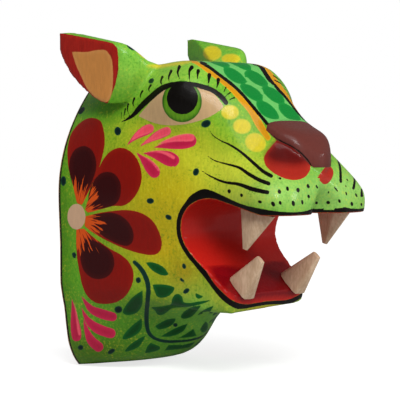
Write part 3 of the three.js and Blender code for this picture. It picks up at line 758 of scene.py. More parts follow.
class Head:
    """The head: one carved block with its ears, nose pad and hollow back, painted all over."""

    voxel: float = 1.3 * MM
    spare_back: float = 4 * MM
    base_triangles: int = 38000
    most_triangles: int = 190000
    far_share: float = 1.35
    passes: int = 5
    nose_top_reach: float = 172 * MM
    nose_tip_reach: float = 204 * MM
    nose_top_height: float = 58.5 * MM
    nose_tip_height: float = 36 * MM
    band_half_width: float = 27.5 * MM
    band_half_width_front: float = 23.5 * MM
    band_back: float = 14 * MM
    scale_lean: float = math.radians(-19)
    scale_half: tuple[float, float] = (11.6 * MM, 8.9 * MM)
    scale_pitch: float = 20.2 * MM
    scale_rows: int = 8
    brow_reach: float = 113 * MM
    ear_face: float = 70 * MM
    ear_foot: float = 70.5 * MM
    rim_stroke: float = 2.3

    def __init__(self) -> None:
        """Starts from the plain solid of the head."""
        self.mouth = Mouth()
        self.back = Back()
        self.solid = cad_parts["head"]

    def build(self) -> bpy.types.Object:
        """Carves, refines and paints the head."""
        piece = self.block()
        creases = self.creases(piece)
        self.carve(piece, creases)
        canvas = self.paint(Canvas(piece))
        for _ in range(self.passes):
            if not self.refine(piece, canvas):
                break
            canvas = self.paint(Canvas(piece))
        self.store(piece, self.paint(Canvas(piece)))
        only(piece)
        bpy.ops.object.shade_smooth_by_angle(angle=math.radians(48))
        return piece

    def block(self) -> bpy.types.Object:
        """Copies the solid of the head as a mesh of its own, with some spare wood behind its flat back."""
        piece = bpy.data.objects.new("painted_head", self.solid.data.copy())
        bpy.context.scene.collection.objects.link(piece)
        piece.data.materials.clear()
        only(piece)
        bpy.ops.object.mode_set(mode="EDIT")
        bpy.ops.mesh.select_all(action="SELECT")
        bpy.ops.mesh.remove_doubles(threshold=0.001 * MM)
        bpy.ops.mesh.select_mode(type="FACE")
        bpy.ops.mesh.select_all(action="DESELECT")
        bpy.ops.object.mode_set(mode="OBJECT")
        for face in piece.data.polygons:
            face.select = all(piece.data.vertices[i].co.y > -0.01 * MM for i in face.vertices)
        bpy.ops.object.mode_set(mode="EDIT")
        bpy.ops.mesh.extrude_region_move(TRANSFORM_OT_translate={"value": (0, self.spare_back, 0)})
        bpy.ops.object.mode_set(mode="OBJECT")
        return piece

    def creases(self, piece: bpy.types.Object) -> KDTree:
        """Finds the sharp edges of the block: the mouth, the ears, the nose pad and the rim.

        Args:
            piece: the block before it is smoothed.

        Returns:
            Points along those edges, ready to be searched.
        """
        shape = bmesh.new()
        shape.from_mesh(piece.data)
        points = []
        for edge in shape.edges:
            if len(edge.link_faces) == 2 and edge.calc_face_angle(0.0) > math.radians(36):
                a, b = (v.co for v in edge.verts)
                steps = max(1, int((b - a).length / (0.3 * MM)))
                points.extend(a.lerp(b, i / steps) for i in range(steps + 1))
        shape.free()
        tree = KDTree(len(points))
        for i, p in enumerate(points):
            tree.insert(p, i)
        tree.balance()
        return tree

    def carve(self, piece: bpy.types.Object, creases: KDTree) -> None:
        """Turns the faceted block into an evenly carved surface that keeps its sharp edges.

        Args:
            piece: the block.
            creases: the points along its sharp edges.
        """
        apply_modifier(piece, "REMESH", mode="VOXEL", voxel_size=self.voxel, use_smooth_shade=True)
        apply_modifier(piece, "SMOOTH", factor=0.5, iterations=2)
        soft = piece.vertex_groups.new(name="soft")
        weights: dict[int, list[int]] = {}
        for v in piece.data.vertices:
            gap = creases.find(v.co)[2] / MM
            weights.setdefault(round(10 * min(1.0, max(0.0, (gap - 0.6) / 4.0))), []).append(v.index)
        for tenth, members in weights.items():
            soft.add(members, tenth / 10, "REPLACE")
        apply_modifier(piece, "SMOOTH", factor=0.5, iterations=22, vertex_group="soft")
        piece.vertex_groups.clear()
        ratio = self.base_triangles / (2 * len(piece.data.polygons))
        apply_modifier(piece, "DECIMATE", decimate_type="COLLAPSE", ratio=ratio)
        bpy.ops.object.mode_set(mode="EDIT")
        bpy.ops.mesh.select_all(action="SELECT")
        bpy.ops.mesh.bisect(plane_co=(0, 0, 0), plane_no=(0, 1, 0), clear_outer=True)
        bpy.ops.mesh.fill(use_beauty=True)
        bpy.ops.mesh.select_all(action="SELECT")
        bpy.ops.mesh.quads_convert_to_tris()
        bpy.ops.object.mode_set(mode="OBJECT")
        flat = np.empty(len(piece.data.vertices) * 3, np.float32)
        piece.data.vertices.foreach_get("co", flat)
        points = np.clip(flat.reshape(-1, 3), cad_box[0], cad_box[1]).astype(np.float32)
        piece.data.vertices.foreach_set("co", points.ravel())
        piece.data.update()

    def refine(self, piece: bpy.types.Object, canvas: Canvas) -> int:
        """Cuts the edges that the border of a mark may cross, so that the paint has crisp edges.

        Args:
            piece: the carved head.
            canvas: its layers of paint.

        Returns:
            How many edges were cut.
        """
        mesh = piece.data
        ends = np.empty(len(mesh.edges) * 2, np.int32)
        mesh.edges.foreach_get("vertices", ends)
        a, b = ends.reshape(-1, 2).T
        length = np.linalg.norm(canvas.points[a] - canvas.points[b], axis=1) / MM
        need = np.zeros(len(length))
        for finish in COATS:
            gap = np.abs(canvas.layers[finish.layer])
            crossed = gap[a] + gap[b] < 1.1 * length + 0.2 * finish.detail
            need = np.maximum(need, np.where(crossed, length / finish.detail, 0.0))
        need[canvas.points[a, 0] > 12 * MM] /= self.far_share
        spare = max(0, self.most_triangles - len(mesh.polygons)) // 2
        worst = np.sort(need)[-spare] if spare < len(need) else 0.0
        cut = need > max(1.0, worst)
        only(piece)
        bpy.ops.object.mode_set(mode="EDIT")
        bpy.ops.mesh.select_mode(type="EDGE")
        bpy.ops.mesh.select_all(action="DESELECT")
        bpy.ops.object.mode_set(mode="OBJECT")
        mesh.edges.foreach_set("select", cut)
        bpy.ops.object.mode_set(mode="EDIT")
        bpy.ops.mesh.subdivide(number_cuts=1)
        bpy.ops.mesh.select_all(action="SELECT")
        bpy.ops.mesh.quads_convert_to_tris()
        bpy.ops.object.mode_set(mode="OBJECT")
        log.info("cut %d edges, now %d triangles", int(cut.sum()), len(mesh.polygons))
        return int(cut.sum())

    def paint(self, canvas: Canvas) -> Canvas:
        """Lays every layer of paint on the vertices of the head."""
        canvas.put("eye_white", (EYE_WHITE,))
        canvas.put("iris", (IRIS,))
        canvas.put("petals", PETALS)
        canvas.put("petal_hearts", PETAL_HEARTS)
        canvas.put("flower_middle", (FLOWER_MIDDLE,))
        canvas.put("drops", DROPS)
        canvas.put("drop_lights", DROP_LIGHTS)
        canvas.put("crown_yellow", (CROWN_YELLOW,))
        canvas.put("leaves", LEAVES + (VINE,))
        canvas.put("stem", (STEM,))
        canvas.put("dots", DOTS)
        canvas.put("yellow_spots", SNOUT_SPOTS + EAR_SPOTS)
        canvas.put("orange_stripe", (ORANGE_STRIPE,))
        canvas.put("nostrils", NOSTRILS)
        # The nostril shade is painted shade under the nose pad, kept within the nostrils.
        canvas.put("nostril_shade", (NOSTRIL_SHADE,))
        canvas.layers["nostril_shade"] = np.maximum(canvas.layers["nostril_shade"], canvas.layers["nostrils"])
        # The black layer also holds the thin line of painted shade under the nose pad.
        canvas.put("black", (PUPIL, LID, BAND_EDGE, PAD_EDGE_PAINTED_SHADE) + LASHES + WHISKERS + FAR_WHISKERS + FRECKLES)
        self.flames(canvas)
        self.band(canvas)
        self.nose(canvas)
        self.ears(canvas)
        self.rim(canvas)
        self.lips(canvas)
        return canvas

    def flames(self, canvas: Canvas) -> None:
        """Keeps the way round the middle of the flower and out from it, for the strands in the petals."""
        centre, half = np.array(FLOWER_MIDDLE.centre), FLOWER_MIDDLE.half
        away = (canvas.sides[Side.BOTH]["px"] - centre) * np.array([half[1] / half[0], 1.0])
        turn = np.arctan2(-away[:, 1], away[:, 0])
        out = np.hypot(away[:, 0], away[:, 1])
        canvas.strands = np.column_stack([turn, out, np.zeros(len(turn))])

    def half_band(self, reach: np.ndarray) -> np.ndarray:
        """Gives half the width of the flat band down the snout."""
        widths = [self.band_half_width, self.band_half_width_front]
        return np.interp(reach, [self.brow_reach, self.nose_top_reach], widths)

    def band(self, canvas: Canvas) -> None:
        """Paints the band along the crown and the snout, with its rows of leaning scales."""
        x, reach, height = canvas.points[:, 0], canvas.reach, canvas.height
        top = np.interp(reach, [0.0, 50 * MM, 96 * MM, 113 * MM, 147 * MM, 172 * MM],
                        [92 * MM, 101 * MM, 104 * MM, 102.5 * MM, 79 * MM, 58.5 * MM])
        side = np.abs(x) - self.half_band(reach)
        below = top - 7 * MM - height
        ends = np.maximum(self.band_back - reach, reach - 174 * MM)
        canvas.layers["band"] = np.maximum(np.maximum(side, below), ends) / MM
        line_top = np.maximum(np.abs(np.abs(x) - self.half_band(reach) + 0.6 * MM) - 1.3 * MM, below)
        line_top = np.maximum(line_top, np.maximum(self.band_back - reach, reach - 116 * MM)) / MM
        canvas.layers["black"] = np.minimum(canvas.layer("black"), line_top)
        beside = np.abs(np.abs(x) - self.half_band(reach) - 3.4 * MM) - 2.4 * MM
        ends = np.maximum(self.band_back - reach, reach - 110 * MM)
        beside = np.maximum(np.maximum(beside, below), ends) / MM
        canvas.layers["orange_stripe"] = np.minimum(canvas.layer("orange_stripe"), beside)
        along = self.along_band(reach)
        scales = canvas.layer("scales")
        lean, half = self.scale_lean, self.scale_half
        front, pitch = self.along_band(np.array([161 * MM]))[0], self.scale_pitch
        for row in range(self.scale_rows):
            for column, shift in ((-10.4 * MM, 0.0), (11.4 * MM, 2.4 * MM)):
                dx, ds = x - column, along - (front + shift - row * pitch)
                u = (dx * math.sin(lean) + ds * math.cos(lean)) / half[0]
                v = (dx * math.cos(lean) - ds * math.sin(lean)) / half[1]
                point = 0.16 * (1 - np.abs(v).clip(0, 1)) * np.clip(np.abs(u) - 0.6, 0, 1)
                gap = np.maximum((np.sqrt(u * u + v * v) + point - 1.0) * half[1], below) / MM
                np.minimum(scales, gap, out=scales)

    def along_band(self, reach: np.ndarray) -> np.ndarray:
        """Gives the way along the band from the wall, for a reach."""
        r = np.array([0, 50, 96, 113, 131, 147, 172, 194, 204]) * MM
        z = np.array([92, 101, 104, 102.5, 90.5, 79, 58.5, 49, 36]) * MM
        way = np.concatenate([[0.0], np.cumsum(np.hypot(np.diff(r), np.diff(z)))])
        return np.interp(reach, r, way)

    def nose(self, canvas: Canvas) -> None:
        """Paints the nose pad brown down to its crisp lower edge."""
        tip, top = self.nose_tip_reach / MM, self.nose_top_height / MM
        low = self.nose_tip_height / MM
        under = np.interp(
            canvas.reach / MM, [tip - 34, tip - 22, tip - 12, tip - 6, tip - 1, tip + 4],
            [top - 3.5, low + 10, low + 5.5, low - 1, low - 9, low - 9]) - 0.5
        above = under - canvas.height / MM
        behind = (self.nose_top_reach - canvas.reach) / MM + 0.3
        wide = (np.abs(canvas.points[:, 0]) - 25.4 * MM) / MM
        canvas.layers["nose"] = np.maximum(np.maximum(above, behind), wide)

    def ears(self, canvas: Canvas) -> None:
        """Paints the flat faces of the ears red, with a tan field."""
        off = (self.ear_face - 0.9 * MM - np.abs(canvas.points[:, 0])) / MM
        off = np.where(off < 0, off * 5, off)
        canvas.layers["ear_red"] = np.where(canvas.height > self.ear_foot, off, FAR_AWAY)
        canvas.put("ear_tan", (EAR_FIELD,))
        canvas.layers["ear_tan"] = np.maximum(canvas.layer("ear_tan"), canvas.layers["ear_red"])

    def rim(self, canvas: Canvas) -> None:
        """Leaves the hollow back bare, and draws the thin black line round the rim."""
        bare = self.back.bare(canvas.points[:, 0], canvas.reach, canvas.height)
        canvas.layers["bare_wood"] = bare
        canvas.layers["rim_line"] = np.maximum(canvas.reach / MM - self.rim_stroke, -bare)

    def lips(self, canvas: Canvas) -> None:
        """Paints the inside of the mouth red and the black line along the lips."""
        side = np.column_stack([canvas.reach, canvas.height])
        level = (canvas.height < 30 * MM) & (canvas.height > -95 * MM)
        near = np.flatnonzero((canvas.reach > 95 * MM) & level)
        gap = np.full(len(side), FAR_AWAY)
        gap[near] = outline_distance(side[near], self.mouth.profile()) / MM
        inside = gap - 0.75
        corner = smooth((150 * MM - canvas.reach) / (30 * MM))
        width = 2.6 + 1.6 * corner
        canvas.put("lips", (LIPS,))
        canvas.put("jaw_red", (JAW_RED,))
        drawn, jaw = canvas.layers.pop("lips"), canvas.layers.pop("jaw_red")
        drawn[gap > 12] = FAR_AWAY
        jaw[(gap > 12) | (canvas.height > -45 * MM)] = FAR_AWAY
        inside = np.minimum(inside, jaw)
        canvas.layers["mouth_red"] = inside
        line_gap = np.maximum(np.minimum(gap - width, drawn), -inside)
        canvas.layers["black"] = np.minimum(canvas.layer("black"), line_gap)

    def ground(self, canvas: Canvas) -> np.ndarray:
        """Blends the washes of the ground colour over the head; some of them are painted shade and one is
        painted light.

        Args:
            canvas: the vertices of the head.

        Returns:
            A linear colour with alpha for every vertex.
        """
        px = canvas.sides[Side.BOTH]["px"]
        far = canvas.sides[Side.FAR]["px"]
        colour = np.tile(np.array(linear(GROUND)), (len(px), 1))
        for wash in WASHES_WITH_PAINTED_LIGHT_AND_SHADE:
            at = np.where((wash.centre[0] > 300) & (canvas.points[:, 0:1] > 0), far, px)
            d = (at - np.array(wash.centre)) / np.array(wash.half)
            share = (wash.strength * np.exp(-(d ** 2).sum(1) * 1.2))[:, None]
            colour = colour * (1 - share) + np.array(linear(wash.colour)) * share
        return colour

    def store(self, piece: bpy.types.Object, canvas: Canvas) -> None:
        """Keeps the layers on the mesh, where the material reads them."""
        for name, values in canvas.layers.items():
            attribute = piece.data.attributes.new(name, "FLOAT", "POINT")
            attribute.data.foreach_set("value", np.clip(values, -30, 30).astype(np.float32))
        strands = piece.data.attributes.new("strands", "FLOAT_VECTOR", "POINT")
        strands.data.foreach_set("vector", canvas.strands.astype(np.float32).ravel())
        ground = piece.data.attributes.new("ground", "FLOAT_COLOR", "POINT")
        ground.data.foreach_set("color", self.ground(canvas).astype(np.float32).ravel())


def only(piece: bpy.types.Object) -> None:
    """Selects one piece and nothing else."""
    bpy.ops.object.select_all(action="DESELECT")
    piece.select_set(True)
    bpy.context.view_layer.objects.active = piece


def apply_modifier(piece: bpy.types.Object, kind: str, **settings: object) -> None:
    """Adds a modifier to a piece, sets it and applies it."""
    only(piece)
    modifier = piece.modifiers.new(kind.lower(), kind)
    for name, value in settings.items():
        setattr(modifier, name, value)
    bpy.ops.object.modifier_apply(modifier=modifier.name)


@dataclass
class Tooth:
    """One whittled canine, set in the gum."""

    node: str
    edge: float = 0.45 * MM

    def build(self) -> bpy.types.Object:
        """Takes the peg, softens its edges and keeps its flat cut facets."""
        piece = bpy.data.objects.new("whittled_" + self.node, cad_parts[self.node].data.copy())
        bpy.context.scene.collection.objects.link(piece)
        piece.data.materials.clear()
        only(piece)
        bpy.ops.object.mode_set(mode="EDIT")
        bpy.ops.mesh.select_all(action="SELECT")
        bpy.ops.mesh.remove_doubles(threshold=0.001 * MM)
        bpy.ops.mesh.dissolve_limited(angle_limit=math.radians(4))
        bpy.ops.object.mode_set(mode="OBJECT")
        sharp = {"limit_method": "ANGLE", "angle_limit": math.radians(14)}
        apply_modifier(piece, "BEVEL", width=self.edge, segments=2, **sharp)
        only(piece)
        bpy.ops.object.shade_smooth_by_angle(angle=math.radians(35))
        return piece


class Graph:
    """A small helper that adds and joins shader nodes."""

    def __init__(self, tree: bpy.types.NodeTree) -> None:
        """Keeps the tree that the nodes go into."""
        self.tree = tree

    def add(self, kind: str, settings: dict | None = None, **inputs: object) -> bpy.types.Node:
        """Adds a node.

        Args:
            kind: the node's type, without its ShaderNode prefix.
            settings: properties of the node.
            **inputs: values or sockets for its inputs, with underscores for spaces.

        Returns:
            The node.
        """
        node = self.tree.nodes.new("ShaderNode" + kind)
        for name, value in (settings or {}).items():
            setattr(node, name, value)
        for name, value in inputs.items():
            self.feed(node.inputs[name.replace("_", " ")], value)
        return node

    def feed(self, socket: bpy.types.NodeSocket, value: object) -> None:
        """Gives an input a value or joins it to an output."""
        if isinstance(value, bpy.types.NodeSocket):
            self.tree.links.new(value, socket)
        else:
            socket.default_value = value

    def math(self, operation: str, a: object, b: object = 0.0, clamp: bool = False) -> bpy.types.NodeSocket:
        """Adds a sum of two values."""
        node = self.tree.nodes.new("ShaderNodeMath")
        node.operation, node.use_clamp = operation, clamp
        self.feed(node.inputs[0], a)
        self.feed(node.inputs[1], b)
        return node.outputs[0]

    def mix(self, share: object, a: object, b: object, blend: str = "MIX") -> bpy.types.NodeSocket:
        """Mixes two colours."""
        node = self.tree.nodes.new("ShaderNodeMix")
        node.data_type, node.blend_type = "RGBA", blend
        self.feed(node.inputs[0], share)
        self.feed(node.inputs[6], a)
        self.feed(node.inputs[7], b)
        return node.outputs[2]

    def ramp(self, value: object, low: float, high: float, start: float = 0.0,
             end: float = 1.0) -> bpy.types.NodeSocket:
        """Eases a value from one range to another."""
        node = self.add("MapRange", {"interpolation_type": "SMOOTHSTEP"})
        sockets = ("Value", "From Min", "From Max", "To Min", "To Max")
        for socket, given in zip(sockets, (value, low, high, start, end)):
            self.feed(node.inputs[socket], given)
        return node.outputs[0]

    def noise(self, place: object, scale: float, detail: float = 3.0,
              rough: float = 0.55) -> bpy.types.NodeSocket:
        """Adds a noise and gives its value."""
        node = self.add("TexNoise", None, Vector=place, Scale=scale, Detail=detail, Roughness=rough)
        return node.outputs[0]

    def place(self, stretch: tuple[float, float, float] = (1, 1, 1)) -> bpy.types.NodeSocket:
        """Gives the place on the piece, stretched along its axes."""
        coordinates = self.tree.nodes.new("ShaderNodeTexCoord")
        mapping = self.add("Mapping", None, Vector=coordinates.outputs["Object"], Scale=stretch)
        return mapping.outputs[0]


def group(name: str, inputs: dict[str, tuple[str, object]], outputs: dict[str, str]) -> bpy.types.NodeTree:
    """Starts a shader node group with named inputs and outputs.

    Args:
        name: the group's name.
        inputs: each input's socket type and first value.
        outputs: each output's socket type.

    Returns:
        The group, still without its nodes.
    """
    tree = bpy.data.node_groups.new(name, "ShaderNodeTree")
    for label, (kind, value) in inputs.items():
        socket = tree.interface.new_socket(name=label, in_out="INPUT", socket_type=kind)
        socket.default_value = value
    for label, kind in outputs.items():
        tree.interface.new_socket(name=label, in_out="OUTPUT", socket_type=kind)
    return tree


def grain_group() -> bpy.types.NodeTree:
    """Makes the grain of bare wood: fine fibres along the piece, dark and light, with a little relief."""
    tree = group(
        "wood_grain",
        {"Light": ("NodeSocketColor", (0.6, 0.4, 0.25, 1)), "Dark": ("NodeSocketColor", (0.3, 0.2, 0.1, 1)),
         "Place": ("NodeSocketVector", (0, 0, 0)), "Contrast": ("NodeSocketFloat", 0.5)},
        {"Color": "NodeSocketColor", "Height": "NodeSocketFloat"})
    g = Graph(tree)
    given = tree.nodes.new("NodeGroupInput")
    result = tree.nodes.new("NodeGroupOutput")
    fibres = g.noise(given.outputs["Place"], 620.0, 4.0, 0.6)
    bands = g.noise(given.outputs["Place"], 120.0, 2.0)
    share = g.math("ADD", g.math("MULTIPLY", fibres, 0.6), g.math("MULTIPLY", bands, 0.5))
    share = g.ramp(share, 0.35, 0.75)
    share = g.math("MULTIPLY", share, given.outputs["Contrast"])
    g.feed(result.inputs["Color"], g.mix(share, given.outputs["Light"], given.outputs["Dark"]))
    g.feed(result.inputs["Height"], fibres)
    return tree


def coat_group() -> bpy.types.NodeTree:
    """Makes one coat of paint over what lies under it, with an uneven edge and a heart of its own."""
    tree = group(
        "coat_of_paint",
        {"Under": ("NodeSocketColor", (1, 1, 1, 1)), "Rim": ("NodeSocketColor", (1, 1, 1, 1)),
         "Heart": ("NodeSocketColor", (1, 1, 1, 1)), "Distance": ("NodeSocketFloat", 1.0),
         "Depth": ("NodeSocketFloat", 1.5), "Edge": ("NodeSocketFloat", 0.15),
         "Wobble": ("NodeSocketFloat", 0.0), "Streak": ("NodeSocketFloat", 0.5),
         "Streaks": ("NodeSocketFloat", 0.2)},
        {"Color": "NodeSocketColor", "Cover": "NodeSocketFloat"})
    g = Graph(tree)
    given = tree.nodes.new("NodeGroupInput")
    result = tree.nodes.new("NodeGroupOutput")
    distance = g.math("ADD", given.outputs["Distance"], given.outputs["Wobble"])
    edge = given.outputs["Edge"]
    cover = g.math("DIVIDE", g.math("SUBTRACT", edge, distance), g.math("MULTIPLY", edge, 2.0), clamp=True)
    inward = g.math("DIVIDE", g.math("MULTIPLY", distance, -1.0), given.outputs["Depth"], clamp=True)
    swing = g.math("MULTIPLY", g.math("SUBTRACT", given.outputs["Streak"], 0.5), given.outputs["Streaks"])
    heart = g.math("ADD", inward, g.math("MULTIPLY", swing, 2.0), clamp=True)
    paint = g.mix(heart, given.outputs["Rim"], given.outputs["Heart"])
    shade = g.math("ADD", g.math("MULTIPLY", swing, 1.1), 1.0)
    bright = g.add("CombineColor", None, Red=shade, Green=shade, Blue=shade)
    paint = g.mix(1.0, paint, bright.outputs[0], "MULTIPLY")
    g.feed(result.inputs["Color"], g.mix(cover, given.outputs["Under"], paint))
    g.feed(result.inputs["Cover"], cover)
    return tree


@dataclass(frozen=True)
class FolkPaint:
    """The painted and varnished finish of the head."""

    name: str = "varnished_folk_paint"
    mottle_light: Rgb = (204, 204, 52)
    mottle_dark: Rgb = (52, 128, 20)
    bare_light: Rgb = (196, 158, 112)
    bare_dark: Rgb = (150, 108, 68)
    flame: Rgb = (216, 82, 18)
    flame_start: float = 9.0
    flame_last: float = 46.0
    flame_end: float = 56.0
    gloss: float = 0.17
    black_gloss: float = 0.05
    varnish_roughness: float = 0.12
    sheen: float = 0.1
    relief_strength: float = 0.55
    relief_depth: float = 0.35 * MM

    def strands(self, g: Graph) -> bpy.types.NodeSocket:
        """Makes the fine strands that flick out from the middle of the flower.

        Args:
            g: the material's nodes.

        Returns:
            Where the strands are, 0 to 1.
        """
        place = g.add("Attribute", {"attribute_name": "strands"}).outputs["Vector"]
        out = g.add("SeparateXYZ", None, Vector=place).outputs["Y"]
        fine = g.add("Mapping", None, Vector=place, Scale=(15.0, 0.045, 1.0)).outputs[0]
        broad = g.add("Mapping", None, Vector=place, Scale=(4.0, 0.02, 1.0)).outputs[0]
        hair = g.math("ADD", g.noise(fine, 1.0, 1.0), g.math("MULTIPLY", g.noise(broad, 1.0, 0.0), 0.35))
        fade = g.ramp(out, self.flame_start, self.flame_end, 0.5, 0.96)
        limit = g.math("MAXIMUM", fade, g.ramp(out, self.flame_last, self.flame_end, 0.5, 1.3))
        return g.ramp(g.math("SUBTRACT", hair, limit), -0.02, 0.05)

    def make(self, coat: bpy.types.NodeTree, grain: bpy.types.NodeTree) -> bpy.types.Material:
        """Builds the material.

        Args:
            coat: the group for a coat of paint.
            grain: the group for bare wood.

        Returns:
            The material.
        """
        material = bpy.data.materials.new(self.name)
        material.use_nodes = True
        tree = material.node_tree
        g = Graph(tree)
        shader = tree.nodes["Principled BSDF"]
        place = g.place()
        upright = g.place((1.0, 1.0, 0.22))
        speckle = g.noise(place, 520.0, 4.0, 0.65)
        patchy = g.noise(place, 70.0, 3.0)
        streak = g.noise(upright, 520.0, 3.0, 0.6)
        wobble = g.math("MULTIPLY", g.math("SUBTRACT", g.noise(place, 420.0, 2.0), 0.5), 0.5)
        colour = g.add("Attribute", {"attribute_name": "ground"}).outputs["Color"]
        light = g.math("MULTIPLY", g.ramp(speckle, 0.5, 0.68), g.ramp(patchy, 0.4, 0.64, 0.1, 0.5))
        dark = g.math("MULTIPLY", g.ramp(speckle, 0.5, 0.32), g.ramp(patchy, 0.6, 0.38, 0.12, 0.6))
        colour = g.mix(light, colour, linear(self.mottle_light))
        colour = g.mix(dark, colour, linear(self.mottle_dark))
        shade = g.ramp(streak, 0.3, 0.7, 0.92, 1.07)
        bright = g.add("CombineColor", None, Red=shade, Green=shade, Blue=shade)
        colour = g.mix(1.0, colour, bright.outputs[0], "MULTIPLY")
        relief: object = 0.0
        for finish in COATS:
            distance = g.add("Attribute", {"attribute_name": finish.layer}).outputs["Fac"]
            layer = tree.nodes.new("ShaderNodeGroup")
            layer.node_tree = coat
            values = {
                "Under": colour, "Rim": linear(finish.rim), "Heart": linear(finish.heart),
                "Distance": distance, "Depth": finish.depth, "Edge": finish.edge, "Wobble": wobble,
                "Streak": streak, "Streaks": finish.streaks}
            for label, value in values.items():
                g.feed(layer.inputs[label], value)
            colour = layer.outputs["Color"]
            relief = g.math("MAXIMUM", relief, layer.outputs["Cover"])
            if finish.layer == "black":
                black = layer.outputs["Cover"]
            if finish.layer == "petals":
                petals = layer.outputs["Cover"]
            if finish.layer == "petal_hearts":
                colour = g.mix(g.math("MULTIPLY", self.strands(g), petals), colour, linear(self.flame))
        wood = tree.nodes.new("ShaderNodeGroup")
        wood.node_tree = grain
        shades = {"Light": linear(self.bare_light), "Dark": linear(self.bare_dark)}
        for label, value in (shades | {"Place": upright, "Contrast": 0.8}).items():
            g.feed(wood.inputs[label], value)
        bare = g.ramp(g.add("Attribute", {"attribute_name": "bare_wood"}).outputs["Fac"], 0.15, -0.15)
        colour = g.mix(bare, colour, wood.outputs["Color"])
        g.feed(shader.inputs["Base Color"], colour)
        rough = g.ramp(speckle, 0.3, 0.7, 0.34, 0.5)
        rough = g.math("ADD", rough, g.math("MULTIPLY", bare, 0.3))
        g.feed(shader.inputs["Roughness"], rough)
        gloss = g.math("SUBTRACT", self.gloss, g.math("MULTIPLY", black, self.gloss - self.black_gloss))
        g.feed(shader.inputs["Coat Weight"], g.math("MULTIPLY", gloss, g.math("SUBTRACT", 1.0, bare)))
        shader.inputs["Coat Roughness"].default_value = self.varnish_roughness
        shader.inputs["Specular IOR Level"].default_value = self.sheen
        height = g.math("ADD", g.math("MULTIPLY", streak, 0.5), g.math("MULTIPLY", speckle, 0.35))
        height = g.math("ADD", height, g.math("MULTIPLY", relief, 0.35))
        bump = g.add("Bump", None, Strength=self.relief_strength, Distance=self.relief_depth, Height=height)
        g.feed(shader.inputs["Normal"], bump.outputs[0])
        return material


@dataclass(frozen=True)
class WhittledWood:
    """The bare wood of the teeth."""

    name: str = "whittled_bare_wood"
    light: Rgb = (222, 192, 160)
    dark: Rgb = (176, 138, 104)

    def make(self, grain: bpy.types.NodeTree) -> bpy.types.Material:
        """Builds the material from the group for bare wood."""
        material = bpy.data.materials.new(self.name)
        material.use_nodes = True
        tree = material.node_tree
        g = Graph(tree)
        shader = tree.nodes["Principled BSDF"]
        wood = tree.nodes.new("ShaderNodeGroup")
        wood.node_tree = grain
        shades = {"Light": linear(self.light), "Dark": linear(self.dark)}
        for label, value in (shades | {"Place": g.place((1.0, 1.0, 0.3)), "Contrast": 0.7}).items():
            g.feed(wood.inputs[label], value)
        g.feed(shader.inputs["Base Color"], wood.outputs["Color"])
        g.feed(shader.inputs["Roughness"], g.ramp(wood.outputs["Height"], 0.3, 0.7, 0.5, 0.68))
        bump = g.add("Bump", None, Strength=0.4, Distance=0.25 * MM, Height=wood.outputs["Height"])
        g.feed(shader.inputs["Normal"], bump.outputs[0])
        return material


@dataclass(frozen=True)
class Lamp:
    """A square soft light: where it hangs, how wide it is and its power in watts."""

    name: str
    place: tuple[float, float, float]
    size: float
    power: float


LAMPS = (Lamp("key", (-1.15, -1.6, 1.15), 0.7, 23.0), Lamp("side", (1.1, -1.9, 0.5), 0.6, 14.0))


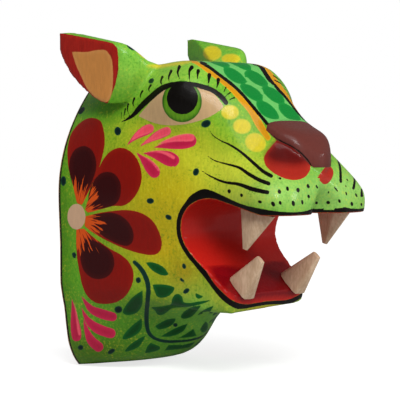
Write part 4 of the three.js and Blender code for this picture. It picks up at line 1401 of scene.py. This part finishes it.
@dataclass
class Studio:
    """The pale floor, the soft light and the camera of the photograph."""

    floor_gap: float = 0.6 * MM
    floor_size: float = 6.0
    floor_colour: Rgb = (190, 190, 190)
    floor_glow: float = 0.74
    room: float = 0.2
    sun: float = 1.35
    sun_place: tuple[float, float, float] = (-0.75, -0.65, 1.35)
    sun_width: float = math.radians(40)

    def build(self, lowest: float) -> None:
        """Sets up everything round the mask.

        Args:
            lowest: the height of the mask's lowest point.
        """
        self.floor(lowest)
        self.world()
        for lamp in LAMPS:
            self.light(lamp)
        self.overhead()
        self.camera()
        bpy.context.scene.view_settings.view_transform = "Standard"

    def overhead(self) -> None:
        """Hangs a broad soft light overhead, a little to the left of the camera."""
        data = bpy.data.lights.new("overhead", "SUN")
        data.energy, data.angle = self.sun, self.sun_width
        lamp = bpy.data.objects.new("overhead", data)
        bpy.context.scene.collection.objects.link(lamp)
        lamp.location = self.sun_place
        lamp.rotation_euler = (-Vector(lamp.location)).to_track_quat("-Z", "Y").to_euler()

    def floor(self, lowest: float) -> None:
        """Lays a wide, nearly white floor just under the mask."""
        bpy.ops.mesh.primitive_plane_add(size=self.floor_size, location=(0, 0, lowest - self.floor_gap))
        floor = bpy.context.object
        floor.name = "floor"
        material = bpy.data.materials.new("pale_floor")
        material.use_nodes = True
        g = Graph(material.node_tree)
        shader = material.node_tree.nodes["Principled BSDF"]
        fleck = g.noise(g.place(), 40.0)
        darker = tuple(c - 3 for c in self.floor_colour)
        shade = g.mix(g.ramp(fleck, 0.3, 0.7), linear(self.floor_colour), linear(darker))
        g.feed(shader.inputs["Base Color"], shade)
        shader.inputs["Roughness"].default_value = 0.9
        shader.inputs["Specular IOR Level"].default_value = 0.1
        shader.inputs["Emission Color"].default_value = (1.0, 1.0, 1.0, 1.0)
        seen = g.add("LightPath").outputs["Is Camera Ray"]
        g.feed(shader.inputs["Emission Strength"], g.ramp(seen, 0.0, 1.0, 0.0, self.floor_glow))
        floor.data.materials.append(material)

    def world(self) -> None:
        """Makes a white room that lights the mask evenly and gently."""
        world = bpy.data.worlds.new("studio")
        bpy.context.scene.world = world
        world.use_nodes = True
        g = Graph(world.node_tree)
        sky = world.node_tree.nodes["Background"]
        sky.inputs["Color"].default_value = (1.0, 1.0, 1.0, 1.0)
        seen = g.add("LightPath").outputs["Is Camera Ray"]
        g.feed(sky.inputs["Strength"], g.ramp(seen, 0.0, 1.0, self.room, 1.0))

    def light(self, lamp: Lamp) -> None:
        """Hangs a square soft light that looks at the mask."""
        data = bpy.data.lights.new(lamp.name, "AREA")
        data.size, data.energy = lamp.size, lamp.power
        hung = bpy.data.objects.new(lamp.name, data)
        bpy.context.scene.collection.objects.link(hung)
        hung.location = lamp.place
        aim = Vector(VIEW.target) - Vector(lamp.place)
        hung.rotation_euler = aim.to_track_quat("-Z", "Y").to_euler()

    def camera(self) -> None:
        """Puts the camera where the photograph was taken from."""
        data = bpy.data.cameras.new("camera")
        data.lens, data.sensor_width = VIEW.lens, VIEW.sensor
        data.clip_start, data.clip_end = 0.05, 200.0
        camera = bpy.data.objects.new("camera", data)
        bpy.context.scene.collection.objects.link(camera)
        camera.location = Vector(VIEW.eye())
        aim = Vector(VIEW.target) - camera.location
        camera.rotation_euler = aim.to_track_quat("-Z", "Y").to_euler()
        bpy.context.scene.camera = camera


def main() -> None:
    """Builds the mask round the fixed solids and reports each piece."""
    logging.basicConfig(level=logging.INFO, format="%(name)s: %(message)s", stream=sys.stdout)
    Studio().build(cad_box[0][2])
    grain = grain_group()
    paint = FolkPaint().make(coat_group(), grain)
    wood = WhittledWood().make(grain)
    pieces = [(Head().build(), "head", "painted_wood", paint)]
    for node in ("upper_right_tooth", "upper_left_tooth", "lower_right_tooth", "lower_left_tooth"):
        pieces.append((Tooth(node).build(), node, "bare_wood", wood))
    for piece, node, slot, material in pieces:
        piece.data.materials.append(material)
        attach(piece, "root")
        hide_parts(node)
        log.info("%s: %d faces, finish %s", piece.name, len(piece.data.polygons), material.name)


if __name__ == "__main__":
    main()
